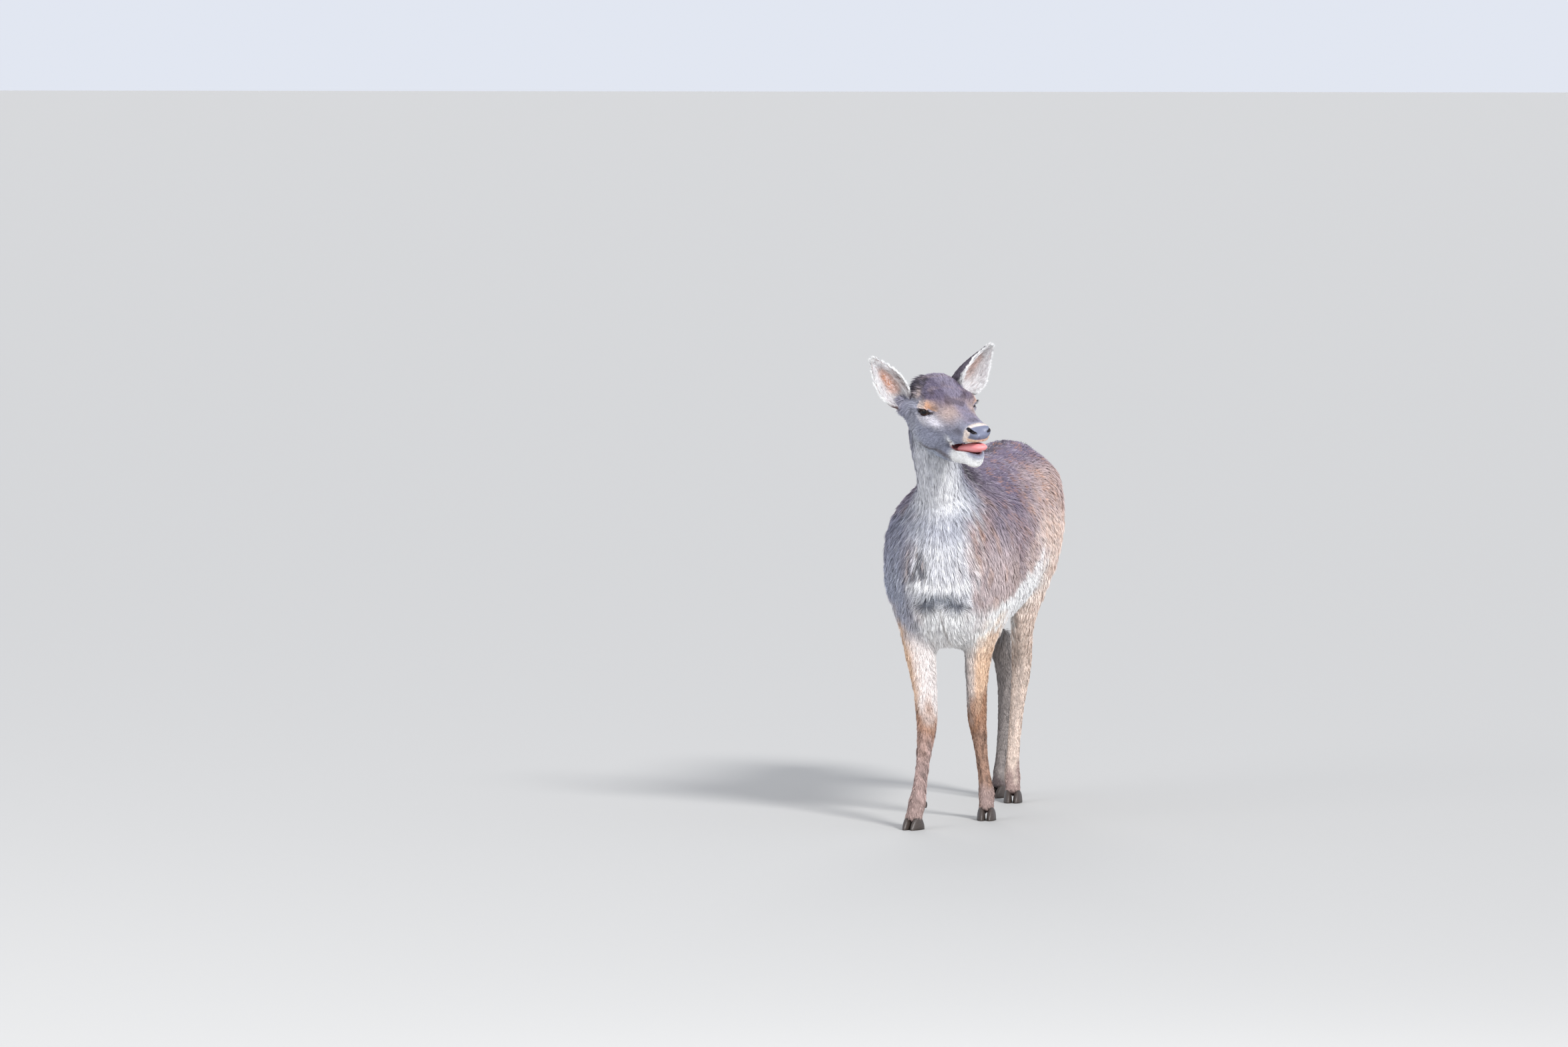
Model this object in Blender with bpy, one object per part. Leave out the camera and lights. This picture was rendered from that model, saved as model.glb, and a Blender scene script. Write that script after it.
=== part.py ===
"""A young fallow deer in its first winter coat, standing with its head turned, as a still life-size model.

Metres, +Z up. The deer faces -Y, its left side is +X, and its eight claws stand on Z = 0.
Every size below is taken to the tips of the coat. The flesh is lofted part by part, fused into one body, and
then divided at the joints, so that neighbouring pieces share one outline and keep a small gap.
"""

import math

import bmesh
import bpy
import numpy as np
from mathutils import Matrix, Vector

# ---------------------------------------------------------------- driving dimensions
FOOTPRINT_CENTRE = Vector((0.0111, 0.1958, 0.0))  # of the finished animal as drawn below; it becomes the origin
GAP = 0.0003  # clearance between neighbouring solids
VOXEL = 0.0045  # grid on which the lofted flesh is fused
BODY_TRIANGLES = 3300
JUNCTION_PASSES = 9  # rounds of smoothing where limbs and neck grow from the trunk

HEAD_CENTRE = Vector((0.053, -0.167, 0.783))  # midway between the eyes
HEAD_TURN = math.radians(48)  # to the deer's left, from straight ahead
HEAD_NOD = math.radians(18)  # muzzle below level
HEAD_TILT = math.radians(7)  # left side up

EYE_RADIUS = 0.0145
EYE_SIDE = 0.0425  # eye centre from the head's middle plane
EYE_FORWARD = -0.0020  # eye centre from the head's own centre

MOUTH_HINGE = (0.0, -0.030, -0.012)  # jaw joint in head coordinates
MOUTH_OPEN = math.radians(9.5)

# Each ear turns by itself: root, axis and the way its opening faces, in head coordinates (side, forward, up)
EARS = {
    -1: ((-0.0527, -0.0690, -0.0080), (-0.55, -0.245, 0.80), (-0.35, 0.93, 0.0)),
    1: ((0.0470, -0.0600, 0.0105), (0.61, 0.20, 0.765), (0.22, 0.975, 0.0)),
}
EAR_LENGTH = 0.107
EAR_SET_BACK = 0.008  # the cup's back stands behind the root's middle
EAR_CUP = {-1: (0.92, 1.0), 1: (1.12, 1.24)}  # how wide each cup is and how far it closes, times the values below
# Ear cup: share of its length, half width, degrees the cup closes to each side, thickness
EAR = [
    (0.00, 0.0150, 112, 0.0060),
    (0.08, 0.0200, 104, 0.0056),
    (0.20, 0.0250, 90, 0.0050),
    (0.34, 0.0280, 78, 0.0046),
    (0.50, 0.0265, 68, 0.0043),
    (0.66, 0.0212, 58, 0.0040),
    (0.80, 0.0145, 50, 0.0038),
    (0.91, 0.0086, 42, 0.0036),
    (1.00, 0.0025, 34, 0.0030),
]
# The ear's round root, which the head holds: height along the ear's axis, half width, half depth
EAR_PLUG = [(-0.024, 0.0140, 0.0130), (-0.008, 0.0185, 0.0170), (0.008, 0.0180, 0.0165), (0.018, 0.0110, 0.0090)]

# Trunk, from chest to rump: y, middle x, top z, z where it is widest, bottom z, half width
TRUNK = [
    (-0.088, 0.004, 0.560, 0.510, 0.465, 0.030),
    (-0.074, 0.004, 0.594, 0.500, 0.410, 0.062),
    (-0.045, 0.004, 0.622, 0.490, 0.366, 0.088),
    (0.000, 0.002, 0.646, 0.475, 0.330, 0.100),
    (0.050, 0.000, 0.666, 0.475, 0.320, 0.112),
    (0.110, 0.000, 0.678, 0.480, 0.319, 0.121),
    (0.200, 0.000, 0.682, 0.490, 0.336, 0.127),
    (0.300, 0.000, 0.686, 0.505, 0.358, 0.125),
    (0.390, 0.000, 0.696, 0.528, 0.392, 0.118),
    (0.460, 0.000, 0.700, 0.545, 0.410, 0.109),
    (0.530, 0.000, 0.684, 0.570, 0.450, 0.092),
    (0.575, 0.000, 0.655, 0.575, 0.490, 0.070),
    (0.598, 0.000, 0.615, 0.573, 0.535, 0.038),
]

# Neck, from inside the shoulders to the skull: centre, half width, half depth
NECK = [
    ((0.000, 0.090, 0.535), 0.080, 0.100),
    ((0.001, 0.030, 0.580), 0.064, 0.098),
    ((0.003, -0.022, 0.628), 0.0495, 0.075),
    ((0.004, -0.062, 0.676), 0.0455, 0.061),
    ((0.002, -0.090, 0.720), 0.0465, 0.056),
    ((0.004, -0.108, 0.757), 0.0455, 0.051),
    ((0.012, -0.122, 0.785), 0.040, 0.044),
]

# Skull, cheeks and upper jaw in head coordinates: forward, middle side, top, widest height, bottom, half width
SKULL = [
    (-0.092, 0, 0.010, -0.008, -0.030, 0.018),
    (-0.082, 0, 0.033, -0.010, -0.056, 0.033),
    (-0.060, 0, 0.048, -0.012, -0.078, 0.0425),
    (-0.034, 0, 0.055, -0.014, -0.089, 0.0460),
    (-0.008, 0, 0.050, -0.012, -0.088, 0.0480),
    (0.014, 0, 0.040, -0.010, -0.080, 0.0450),
    (0.034, 0, 0.028, -0.012, -0.067, 0.0385),
    (0.050, 0, 0.0205, -0.014, -0.052, 0.0330),
    (0.064, 0, 0.0155, -0.014, -0.0415, 0.0295),
    (0.080, 0, 0.0110, -0.012, -0.0340, 0.0265),
    (0.094, 0, 0.0085, -0.010, -0.0280, 0.0248),
    (0.107, 0, 0.0060, -0.009, -0.0235, 0.0235),
    (0.117, 0, -0.0005, -0.009, -0.0195, 0.0190),
    (0.1235, 0, -0.0070, -0.0110, -0.0150, 0.0110),
]

# Lower jaw with the mouth closed, in head coordinates, given like the skull
JAW = [
    (-0.010, 0, -0.036, -0.066, -0.0955, 0.0260),
    (0.020, 0, -0.040, -0.066, -0.0895, 0.0270),
    (0.045, 0, -0.0445, -0.062, -0.0815, 0.0235),
    (0.062, 0, -0.0425, -0.056, -0.0745, 0.0205),
    (0.080, 0, -0.0360, -0.049, -0.0660, 0.0190),
    (0.096, 0, -0.0290, -0.042, -0.0585, 0.0180),
    (0.110, 0, -0.0245, -0.036, -0.0525, 0.0165),
    (0.119, 0, -0.0240, -0.033, -0.0450, 0.0120),
    (0.1240, 0, -0.0270, -0.0320, -0.0380, 0.0050),
]
JAW_CUT = (0.047, -0.0565)  # forward, up: the lower jaw parts from the cheeks at the corner of the mouth
JAW_CUT_RISE = math.radians(15)  # slope of the parting through the open mouth

# Tongue, raised off the open lower jaw, in head coordinates: forward, side, middle height, half width, half height
TONGUE = [
    (0.054, 0, -0.0590, 0.0080, 0.0050),
    (0.066, 0, -0.0540, 0.0110, 0.0080),
    (0.082, 0, -0.0472, 0.0130, 0.0098),
    (0.098, 0, -0.0408, 0.0138, 0.0102),
    (0.112, 0, -0.0362, 0.0134, 0.0094),
    (0.124, 0, -0.0322, 0.0110, 0.0068),
    (0.1310, 0, -0.0300, 0.0060, 0.0036),
]

# Tail, hanging: centre, half width, half depth
TAIL = [
    ((0.000, 0.572, 0.668), 0.021, 0.019),
    ((0.000, 0.600, 0.645), 0.023, 0.018),
    ((0.000, 0.622, 0.600), 0.026, 0.015),
    ((0.000, 0.632, 0.550), 0.026, 0.013),
    ((0.000, 0.636, 0.500), 0.020, 0.011),
    ((0.000, 0.636, 0.462), 0.011, 0.007),
    ((0.000, 0.635, 0.446), 0.005, 0.004),
]

# Legs, from shoulder or hip down to the coronet: centre, half width, half depth
LEGS = {
    "fore_right": [
        ((-0.060, 0.064, 0.594), 0.022, 0.048),
        ((-0.067, 0.062, 0.568), 0.040, 0.070),
        ((-0.077, 0.056, 0.530), 0.0475, 0.080),
        ((-0.078, 0.050, 0.480), 0.0485, 0.080),
        ((-0.074, 0.040, 0.430), 0.0440, 0.066),
        ((-0.058, 0.023, 0.370), 0.0340, 0.047),
        ((-0.0465, 0.008, 0.315), 0.0285, 0.034),
        ((-0.030, -0.020, 0.252), 0.0215, 0.0250),
        ((-0.019, -0.047, 0.195), 0.0180, 0.0205),
        ((-0.018, -0.061, 0.165), 0.0150, 0.0175),
        ((-0.0185, -0.079, 0.118), 0.0112, 0.0138),
        ((-0.0205, -0.095, 0.072), 0.0118, 0.0145),
        ((-0.0225, -0.102, 0.050), 0.0146, 0.0175),
        ((-0.0245, -0.112, 0.031), 0.0138, 0.0155),
        ((-0.0260, -0.121, 0.012), 0.0150, 0.0175),
    ],
    "fore_left": [
        ((0.060, 0.064, 0.594), 0.022, 0.048),
        ((0.067, 0.062, 0.568), 0.040, 0.070),
        ((0.077, 0.058, 0.530), 0.0475, 0.080),
        ((0.078, 0.056, 0.480), 0.0485, 0.080),
        ((0.074, 0.058, 0.430), 0.0440, 0.066),
        ((0.060, 0.066, 0.365), 0.033, 0.047),
        ((0.0475, 0.074, 0.315), 0.0255, 0.033),
        ((0.0430, 0.080, 0.252), 0.0200, 0.0240),
        ((0.0425, 0.084, 0.195), 0.0180, 0.0205),
        ((0.0440, 0.092, 0.165), 0.0150, 0.0175),
        ((0.0475, 0.100, 0.118), 0.0112, 0.0138),
        ((0.0520, 0.107, 0.072), 0.0122, 0.0145),
        ((0.0545, 0.108, 0.050), 0.0150, 0.0175),
        ((0.0565, 0.101, 0.031), 0.0138, 0.0155),
        ((0.0580, 0.094, 0.012), 0.0150, 0.0175),
    ],
    "hind_right": [
        ((-0.054, 0.460, 0.610), 0.050, 0.088),
        ((-0.067, 0.465, 0.540), 0.044, 0.100),
        ((-0.073, 0.470, 0.470), 0.038, 0.098),
        ((-0.070, 0.480, 0.410), 0.032, 0.072),
        ((-0.058, 0.515, 0.355), 0.0240, 0.046),
        ((-0.048, 0.562, 0.308), 0.0190, 0.0310),
        ((-0.042, 0.588, 0.278), 0.0190, 0.0270),
        ((-0.038, 0.594, 0.240), 0.0165, 0.0205),
        ((-0.035, 0.587, 0.190), 0.0135, 0.0165),
        ((-0.0345, 0.573, 0.120), 0.0115, 0.0145),
        ((-0.0355, 0.566, 0.072), 0.0125, 0.0155),
        ((-0.0360, 0.563, 0.050), 0.0150, 0.0180),
        ((-0.0370, 0.553, 0.031), 0.0138, 0.0155),
        ((-0.0385, 0.544, 0.012), 0.0150, 0.0175),
    ],
    "hind_left": [
        ((0.054, 0.455, 0.610), 0.050, 0.088),
        ((0.066, 0.450, 0.540), 0.043, 0.097),
        ((0.064, 0.434, 0.470), 0.036, 0.089),
        ((0.053, 0.430, 0.410), 0.030, 0.065),
        ((0.039, 0.442, 0.355), 0.0230, 0.043),
        ((0.030, 0.466, 0.308), 0.0190, 0.0310),
        ((0.026, 0.481, 0.278), 0.0190, 0.0270),
        ((0.023, 0.483, 0.240), 0.0175, 0.0205),
        ((0.018, 0.479, 0.190), 0.0140, 0.0165),
        ((0.0130, 0.473, 0.120), 0.0120, 0.0145),
        ((0.0108, 0.470, 0.072), 0.0130, 0.0155),
        ((0.0110, 0.468, 0.050), 0.0153, 0.0180),
        ((0.0140, 0.459, 0.031), 0.0140, 0.0155),
        ((0.0170, 0.450, 0.012), 0.0150, 0.0175),
    ],
}

# Where each leg parts at its knee or hock, the height at which it leaves the trunk, and its toes' turn outwards
KNEE_HEIGHT = {"fore": 0.196, "hind": 0.272}
LIMB_REGION = {"fore": (0.020, 0.030), "hind": (0.024, 0.045)}  # room round the leg, and the dome's rise
TOE_TURN = {"fore_right": -8, "fore_left": 10, "hind_right": -10, "hind_left": 10}

# Rounded bumps on the flesh: centre, then radii; brow and nostril wing in head coordinates
BROW = (0.036, 0.002, 0.016, 0.014, 0.019, 0.011)
NOSTRIL_WING = (0.0125, 0.111, -0.004, 0.009, 0.010, 0.0085)
BUTTOCK = (0.046, 0.550, 0.560, 0.040, 0.040, 0.075)
HOCK_POINTS = {
    -1: ((-0.043, 0.612, 0.302), (0.0125, 0.013, 0.022)),
    1: ((0.027, 0.505, 0.302), (0.0125, 0.013, 0.022)),
}

CLAW_LENGTH = 0.041
CLAW_HEIGHT = 0.026
CLAW_HALF_WIDTH = 0.0082
CLAW_SPLAY = math.radians(5)
CORONET_HEIGHT = 0.0205
CORONET_SLOPE = math.radians(24)  # front of the coronet stands higher than its heel
# Claw outline from heel to toe: share of its length, share of its height, share of its half width
CLAW_SHAPE = [
    (0.00, 0.60, 0.72),
    (0.18, 0.92, 0.95),
    (0.45, 1.00, 1.00),
    (0.72, 0.72, 0.86),
    (0.90, 0.42, 0.55),
    (1.00, 0.16, 0.18),
]
# One ring round a claw, from its flat sole over the top: across, up
CLAW_RING = [(-1, 0), (1, 0), (0.95, 0.45), (0.62, 0.90), (0, 1.0), (-0.62, 0.90), (-0.95, 0.45)]
CLAW_CENTRE = 0.42  # share of the claw's length that lies behind the leg's line
CLAW_CLEFT = 0.0012  # half the space between a foot's two claws
CLAW_FORWARD = 0.004  # the claws stand this far ahead of the coronet's middle
DEWCLAW_RADIUS = 0.0045
DEWCLAW_TIP = 0.0014
DEWCLAW_LENGTH = 0.015
DEWCLAW_BACK = 0.0150  # its middle from the fetlock's: back, to the side, down
DEWCLAW_SIDE = 0.0085
DEWCLAW_DOWN = 0.006

COAT = {
    "grey_coat": (0.30, 0.26, 0.24),
    "pale_coat": (0.62, 0.59, 0.56),
    "tan_coat": (0.46, 0.33, 0.24),
    "dark_coat": (0.09, 0.08, 0.08),
    "horn": (0.05, 0.045, 0.04),
    "eye": (0.03, 0.018, 0.012),
    "tongue": (0.78, 0.42, 0.40),
}
ROUGHNESS = {"eye": 0.05, "tongue": 0.35, "horn": 0.45}


# ---------------------------------------------------------------- helpers
def head_frame():
    """Head coordinates (side, forward, up) to the deer's frame."""
    forward = Vector((math.sin(HEAD_TURN), -math.cos(HEAD_TURN), 0.0)) * math.cos(HEAD_NOD)
    forward.z = -math.sin(HEAD_NOD)
    side = Vector((math.cos(HEAD_TURN), math.sin(HEAD_TURN), 0.0))
    side = Matrix.Rotation(HEAD_TILT, 3, forward) @ side
    up = forward.cross(side)
    rows = [[side[i], forward[i], up[i], HEAD_CENTRE[i]] for i in range(3)]
    return Matrix(rows + [[0, 0, 0, 1]])


def jaw_frame():
    """Closed-jaw coordinates to the deer's frame, with the mouth open."""
    hinge = Matrix.Translation(MOUTH_HINGE)
    return HEAD @ hinge @ Matrix.Rotation(-MOUTH_OPEN, 4, "X") @ hinge.inverted()


HEAD = head_frame()
OPEN_JAW = jaw_frame()


def new_object(name, bm):
    mesh = bpy.data.meshes.new(name)
    bmesh.ops.triangulate(bm, faces=bm.faces)
    bmesh.ops.recalc_face_normals(bm, faces=bm.faces)
    if bm.calc_volume(signed=True) < 0:
        bmesh.ops.reverse_faces(bm, faces=bm.faces)
    bm.to_mesh(mesh)
    bm.free()
    obj = bpy.data.objects.new(name, mesh)
    bpy.context.scene.collection.objects.link(obj)
    return obj


def resampled(rows, steps):
    """A smooth Catmull-Rom chain through the stations' numbers, with steps spans between neighbours."""
    rows = np.array(rows, float)
    padded = np.vstack([2 * rows[0] - rows[1], rows, 2 * rows[-1] - rows[-2]])
    out = []
    for i in range(len(rows) - 1):
        a, b, c, d = padded[i : i + 4]
        for t in np.arange(steps) / steps:
            out.append(
                0.5 * (2 * b + (c - a) * t + (2 * a - 5 * b + 4 * c - d) * t**2 + (3 * b - a - 3 * c + d) * t**3)
            )
    return np.array(out + [rows[-1]])


def loft(name, stations, sides=24, steps=3, normal=None, power=2.0, frame=None):
    """A closed solid through stations (x, y, z, half width, rise, drop), rings square to its line or to normal."""
    rows = resampled([row if len(row) == 6 else (*row, row[-1]) for row in stations], steps)
    centres, radii = rows[:, :3], np.maximum(rows[:, 3:], 0.001)
    tangents = np.gradient(centres, axis=0)
    bm = bmesh.new()
    rings = []
    for centre, radius, tangent in zip(centres, radii, tangents):
        along = Vector(normal or tangent).normalized()
        side = (Vector((1, 0, 0)) - along * along.x).normalized()
        depth = side.cross(along)
        ring = []
        for i in range(sides):
            angle = 2 * math.pi * i / sides
            c, s = math.cos(angle), math.sin(angle)
            across = math.copysign(abs(c) ** (2 / power), c) * radius[0]
            upward = math.copysign(abs(s) ** (2 / power), s) * radius[1 if s > 0 else 2]
            ring.append(bm.verts.new(Vector(centre) + side * across + depth * upward))
        rings.append(ring)
    for low, high in zip(rings, rings[1:]):
        for i in range(sides):
            j = (i + 1) % sides
            bm.faces.new((low[i], low[j], high[j], high[i]))
    bm.faces.new(rings[0])
    bm.faces.new(rings[-1])
    if frame:
        bm.transform(frame)
    return new_object(name, bm)


def profile_stations(rows):
    """Stations of a level loft from rows (y, middle x, top, widest height, bottom, half width)."""
    return [(x, y, widest, half, top - widest, widest - low) for y, x, top, widest, low, half in rows]


def line_stations(rows):
    return [(*centre, half_width, half_depth) for centre, half_width, half_depth in rows]


def ball(name, centre, radii, frame=None, segments=16, rings=12):
    bm = bmesh.new()
    bmesh.ops.create_uvsphere(bm, u_segments=segments, v_segments=rings, radius=1.0)
    bmesh.ops.scale(bm, vec=radii, verts=bm.verts)
    bmesh.ops.translate(bm, vec=centre, verts=bm.verts)
    if frame:
        bm.transform(frame)
    return new_object(name, bm)


def block(name, centre, size, frame=None):
    bm = bmesh.new()
    bmesh.ops.create_cube(bm, size=1.0)
    bmesh.ops.scale(bm, vec=size, verts=bm.verts)
    bmesh.ops.translate(bm, vec=centre, verts=bm.verts)
    if frame:
        bm.transform(frame)
    return new_object(name, bm)


def remove(obj):
    bpy.data.objects.remove(obj)


def bake(obj):
    """Applies the object's modifiers to its mesh."""
    bpy.context.view_layer.update()
    evaluated = obj.evaluated_get(bpy.context.evaluated_depsgraph_get())
    mesh = bpy.data.meshes.new_from_object(evaluated)
    obj.modifiers.clear()
    obj.data = mesh
    return obj


def boolean(obj, other, operation, keep_other=False):
    modifier = obj.modifiers.new("boolean", "BOOLEAN")
    modifier.object = other
    modifier.operation = operation
    modifier.solver = "EXACT"
    bake(obj)
    if not keep_other:
        remove(other)
    return obj


def copy_of(obj, name):
    twin = bpy.data.objects.new(name, obj.data.copy())
    bpy.context.scene.collection.objects.link(twin)
    return twin


def carve(host, piece):
    """Cuts piece's shape, GAP wider all round, out of host."""
    cutter = copy_of(piece, "cutter")
    bm = bmesh.new()
    bm.from_mesh(cutter.data)
    bmesh.ops.triangulate(bm, faces=bm.faces)
    bm.normal_update()
    moves = [(vert, vert.normal * min(vert.calc_shell_factor(), 2.0) * GAP) for vert in bm.verts]
    for vert, move in moves:
        vert.co += move
    bm.to_mesh(cutter.data)
    bm.free()
    boolean(host, cutter, "DIFFERENCE")


def joined(name, objects):
    bm = bmesh.new()
    for obj in objects:
        bm.from_mesh(obj.data)
        remove(obj)
    return new_object(name, bm)


def biggest_part(obj):
    """Keeps the largest connected piece, dropping the crumbs that a cut can leave."""
    bm = bmesh.new()
    bm.from_mesh(obj.data)
    left, groups = set(bm.verts), []
    while left:
        group, todo = set(), [next(iter(left))]
        while todo:
            vert = todo.pop()
            if vert not in group:
                group.add(vert)
                todo += [edge.other_vert(vert) for edge in vert.link_edges]
        groups.append(group)
        left -= group
    groups.sort(key=len)
    crumbs = [vert for group in groups[:-1] for vert in group]
    bmesh.ops.delete(bm, geom=crumbs, context="VERTS")
    bm.to_mesh(obj.data)
    bm.free()
    return obj


# ---------------------------------------------------------------- fused flesh
def toe_direction(leg):
    turn = math.radians(TOE_TURN[leg])
    return Vector((math.sin(turn), -math.cos(turn), 0.0))


def lofted_flesh():
    parts = [
        loft("trunk_loft", profile_stations(TRUNK), 40, 3, (0, 1, 0), 2.0),
        loft("neck_loft", line_stations(NECK), 32),
        loft("skull_loft", profile_stations(SKULL), 32, 3, (0, 1, 0), 2.1, HEAD),
        loft("jaw_loft", profile_stations(JAW), 28, 3, (0, 1, 0), 2.1, OPEN_JAW),
    ]
    for leg, rows in LEGS.items():
        parts.append(loft(leg + "_loft", line_stations(rows), sides=24))
    for side in (-1, 1):
        parts += [
            ball("brow", (side * BROW[0], *BROW[1:3]), BROW[3:], HEAD),
            ball("nostril_wing", (side * NOSTRIL_WING[0], *NOSTRIL_WING[1:3]), NOSTRIL_WING[3:], HEAD),
            ball("buttock", (side * BUTTOCK[0], *BUTTOCK[1:3]), BUTTOCK[3:]),
            ball("hock_point_" + str(side), *HOCK_POINTS[side]),
        ]
    return parts


def fused_body():
    """The flesh as one closed surface, eased where the limbs join and thinned to few triangles."""
    body = joined("body", lofted_flesh())
    remesh = body.modifiers.new("remesh", "REMESH")
    remesh.mode = "VOXEL"
    remesh.voxel_size = VOXEL
    bake(body)
    bm = bmesh.new()
    bm.from_mesh(body.data)
    soft = [v for v in bm.verts if junction(v.co)]
    for _ in range(JUNCTION_PASSES):
        bmesh.ops.smooth_vert(bm, verts=soft, factor=0.5, use_axis_x=True, use_axis_y=True, use_axis_z=True)
    bmesh.ops.smooth_vert(bm, verts=bm.verts, factor=0.5, use_axis_x=True, use_axis_y=True, use_axis_z=True)
    bmesh.ops.triangulate(bm, faces=bm.faces)
    bm.to_mesh(body.data)
    count = len(bm.faces)
    bm.free()
    fine = body.vertex_groups.new(name="fine")
    for vert in body.data.vertices:
        fine.add([vert.index], fineness(vert.co), "REPLACE")
    thin = body.modifiers.new("thin", "DECIMATE")
    thin.ratio = BODY_TRIANGLES / count
    thin.vertex_group = "fine"
    thin.invert_vertex_group = True
    thin.vertex_group_factor = 1.0
    return bake(body)


def junction(point):
    """True on the trunk, the limbs' tops and the neck, which are eased together; the head and thin legs aren't."""
    return point.z > 0.300 and (HEAD.inverted() @ point).y < -0.062


def fineness(point):
    """How much detail the thinned body keeps: most on the head, then on the thin legs."""
    if (HEAD.inverted() @ point).y > -0.075 and point.z > 0.66:
        return 0.7
    return 0.55 if point.z < 0.33 else 0.08


# ---------------------------------------------------------------- dividing the body
def take(body, name, region):
    """Cuts the part of body inside region off as its own object, leaving a gap round it."""
    piece = boolean(copy_of(body, name), region, "INTERSECT", keep_other=True)
    carve(body, region)
    remove(region)
    return biggest_part(piece)


def facing(point, normal):
    """A frame whose Z is normal, at point."""
    return Matrix.Translation(point) @ Vector(normal).to_track_quat("Z", "Y").to_matrix().to_4x4()


def take_beyond(body, name, point, normal, size):
    """Cuts off all that lies beyond a plane, within a block of that size standing on it."""
    return take(body, name, block("region", (0, 0, size[2] / 2), size, facing(point, normal)))


def limb_region(leg):
    """The space that holds a leg's upper half, with a dome inside the shoulder or hip."""
    kind, side = leg[:4], -1 if leg.endswith("right") else 1
    reach, lift = LIMB_REGION[kind]
    rows = [row for row in LEGS[leg] if row[0][2] > KNEE_HEIGHT[kind] - 0.02]
    stations = []
    for (x, y, z), half_width, half_depth in rows:
        out = 0.020 if z > 0.33 else 0.0
        stations.append((x + side * out, y, z, half_width + reach, half_depth + reach))
    x, y, z, half_width, half_depth = stations[-1]
    stations.append((x, y, z - 0.05, half_width, half_depth))
    x, y, z, half_width, half_depth = stations[0]
    crown = [
        (x, y, z + lift, half_width * 0.30, half_depth * 0.30),
        (x, y, z + lift * 0.75, half_width * 0.72, half_depth * 0.72),
    ]
    return loft("region", crown + stations, 14, 1, (0, 0, -1))


def divided(body):
    """The named pieces of flesh, cut off in turn; what is left is the trunk."""
    pieces = {}
    for leg, rows in LEGS.items():
        kind = leg[:4]
        knee = min(rows, key=lambda row: abs(row[0][2] - KNEE_HEIGHT[kind]))[0]
        point = (knee[0], knee[1], KNEE_HEIGHT[kind])
        pieces["lower_" + leg] = take_beyond(body, "lower_" + leg, point, (0, 0, -1), (0.085, 0.12, 0.28))
    for leg in LEGS:
        pieces["upper_" + leg] = take(body, "upper_" + leg, limb_region(leg))
    neck_top = HEAD @ Vector((0, -0.064, -0.014))
    nape_normal = HEAD.to_3x3() @ Vector((0, 0.905, 0.426))
    pieces["head"] = take_beyond(body, "head", neck_top, nape_normal, (0.24, 0.24, 0.30))
    corner = HEAD @ Vector((0, *JAW_CUT))
    across = Matrix.Translation(corner) @ HEAD.to_3x3().to_4x4() @ Matrix.Rotation(JAW_CUT_RISE, 4, "X")
    region = block("region", (0, 0.06, -0.05), (0.12, 0.12, 0.10), across)
    pieces["lower_jaw"] = take(pieces["head"], "lower_jaw", region)
    pieces["neck"] = take_beyond(body, "neck", (0.0, -0.020, 0.612), (0.03, -0.66, 0.75), (0.30, 0.26, 0.32))
    body.name = "trunk"
    pieces["trunk"] = biggest_part(body)
    return pieces


# ---------------------------------------------------------------- head pieces
def ear_frame(side):
    root, axis, opening = (Vector(numbers) for numbers in EARS[side])
    axis.normalize()
    facing_way = (opening - axis * opening.dot(axis)).normalized()
    across = axis.cross(facing_way)
    rows = [[across[i], facing_way[i], axis[i], root[i]] for i in range(3)]
    return HEAD @ Matrix(rows + [[0, 0, 0, 1]])


def ear_cup(side, points=6):
    """A cupped leaf: each ring runs round the back of the cup and returns inside it."""
    bm = bmesh.new()
    rings = []
    wider, closer = EAR_CUP[side]
    for share, half_width, degrees, thickness in EAR:
        closing = math.radians(min(degrees * closer, 112))
        radius = half_width * wider / math.sin(min(closing, math.pi / 2))
        ring = []
        for offset, order in ((thickness / 2, 1), (-thickness / 2, -1)):
            for k in range(points + 1):
                angle = closing * (2 * k / points - 1) * order
                reach = radius + offset
                across, forward = reach * math.sin(angle), radius * 0.9 - reach * math.cos(angle) - EAR_SET_BACK
                ring.append(bm.verts.new((across, forward, EAR_LENGTH * share)))
        rings.append(ring)
    count = len(rings[0])
    for low, high in zip(rings, rings[1:]):
        for i in range(count):
            j = (i + 1) % count
            bm.faces.new((low[i], low[j], high[j], high[i]))
    bm.faces.new(rings[0])
    bm.faces.new(rings[-1])
    bm.transform(ear_frame(side))
    return new_object("ear_cup", bm)


def ear(hosts, side):
    """The cup with its rounded root, which sits in a socket of the head and the nape."""
    line = [(0, -0.001, *row) for row in EAR_PLUG]
    root = loft("ear_root", line, 12, 1, frame=ear_frame(side))
    cup = ear_cup(side)
    for host in hosts:
        carve(host, root)
        carve(host, cup)
    return boolean(cup, root, "UNION")


def finish_head(pieces):
    """Adds eyes, ears, lower jaw and tongue, each in a close-fitting socket."""
    for side, word in ((-1, "right"), (1, "left")):
        pieces["eye_" + word] = ball("eye", (side * EYE_SIDE, EYE_FORWARD, 0), (EYE_RADIUS,) * 3, HEAD, 14, 8)
        pieces["ear_" + word] = ear((pieces["head"], pieces["neck"]), side)
    tongue = [(side, forward, *shape) for forward, side, *shape in TONGUE]
    pieces["tongue"] = loft("tongue", tongue, 10, 1, (0, 1, 0), 2.0, HEAD)
    for name in ("eye_right", "eye_left", "tongue"):
        carve(pieces["head"], pieces[name])
    carve(pieces["lower_jaw"], pieces["tongue"])
    for name in ("head", "lower_jaw"):
        biggest_part(pieces[name])


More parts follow.
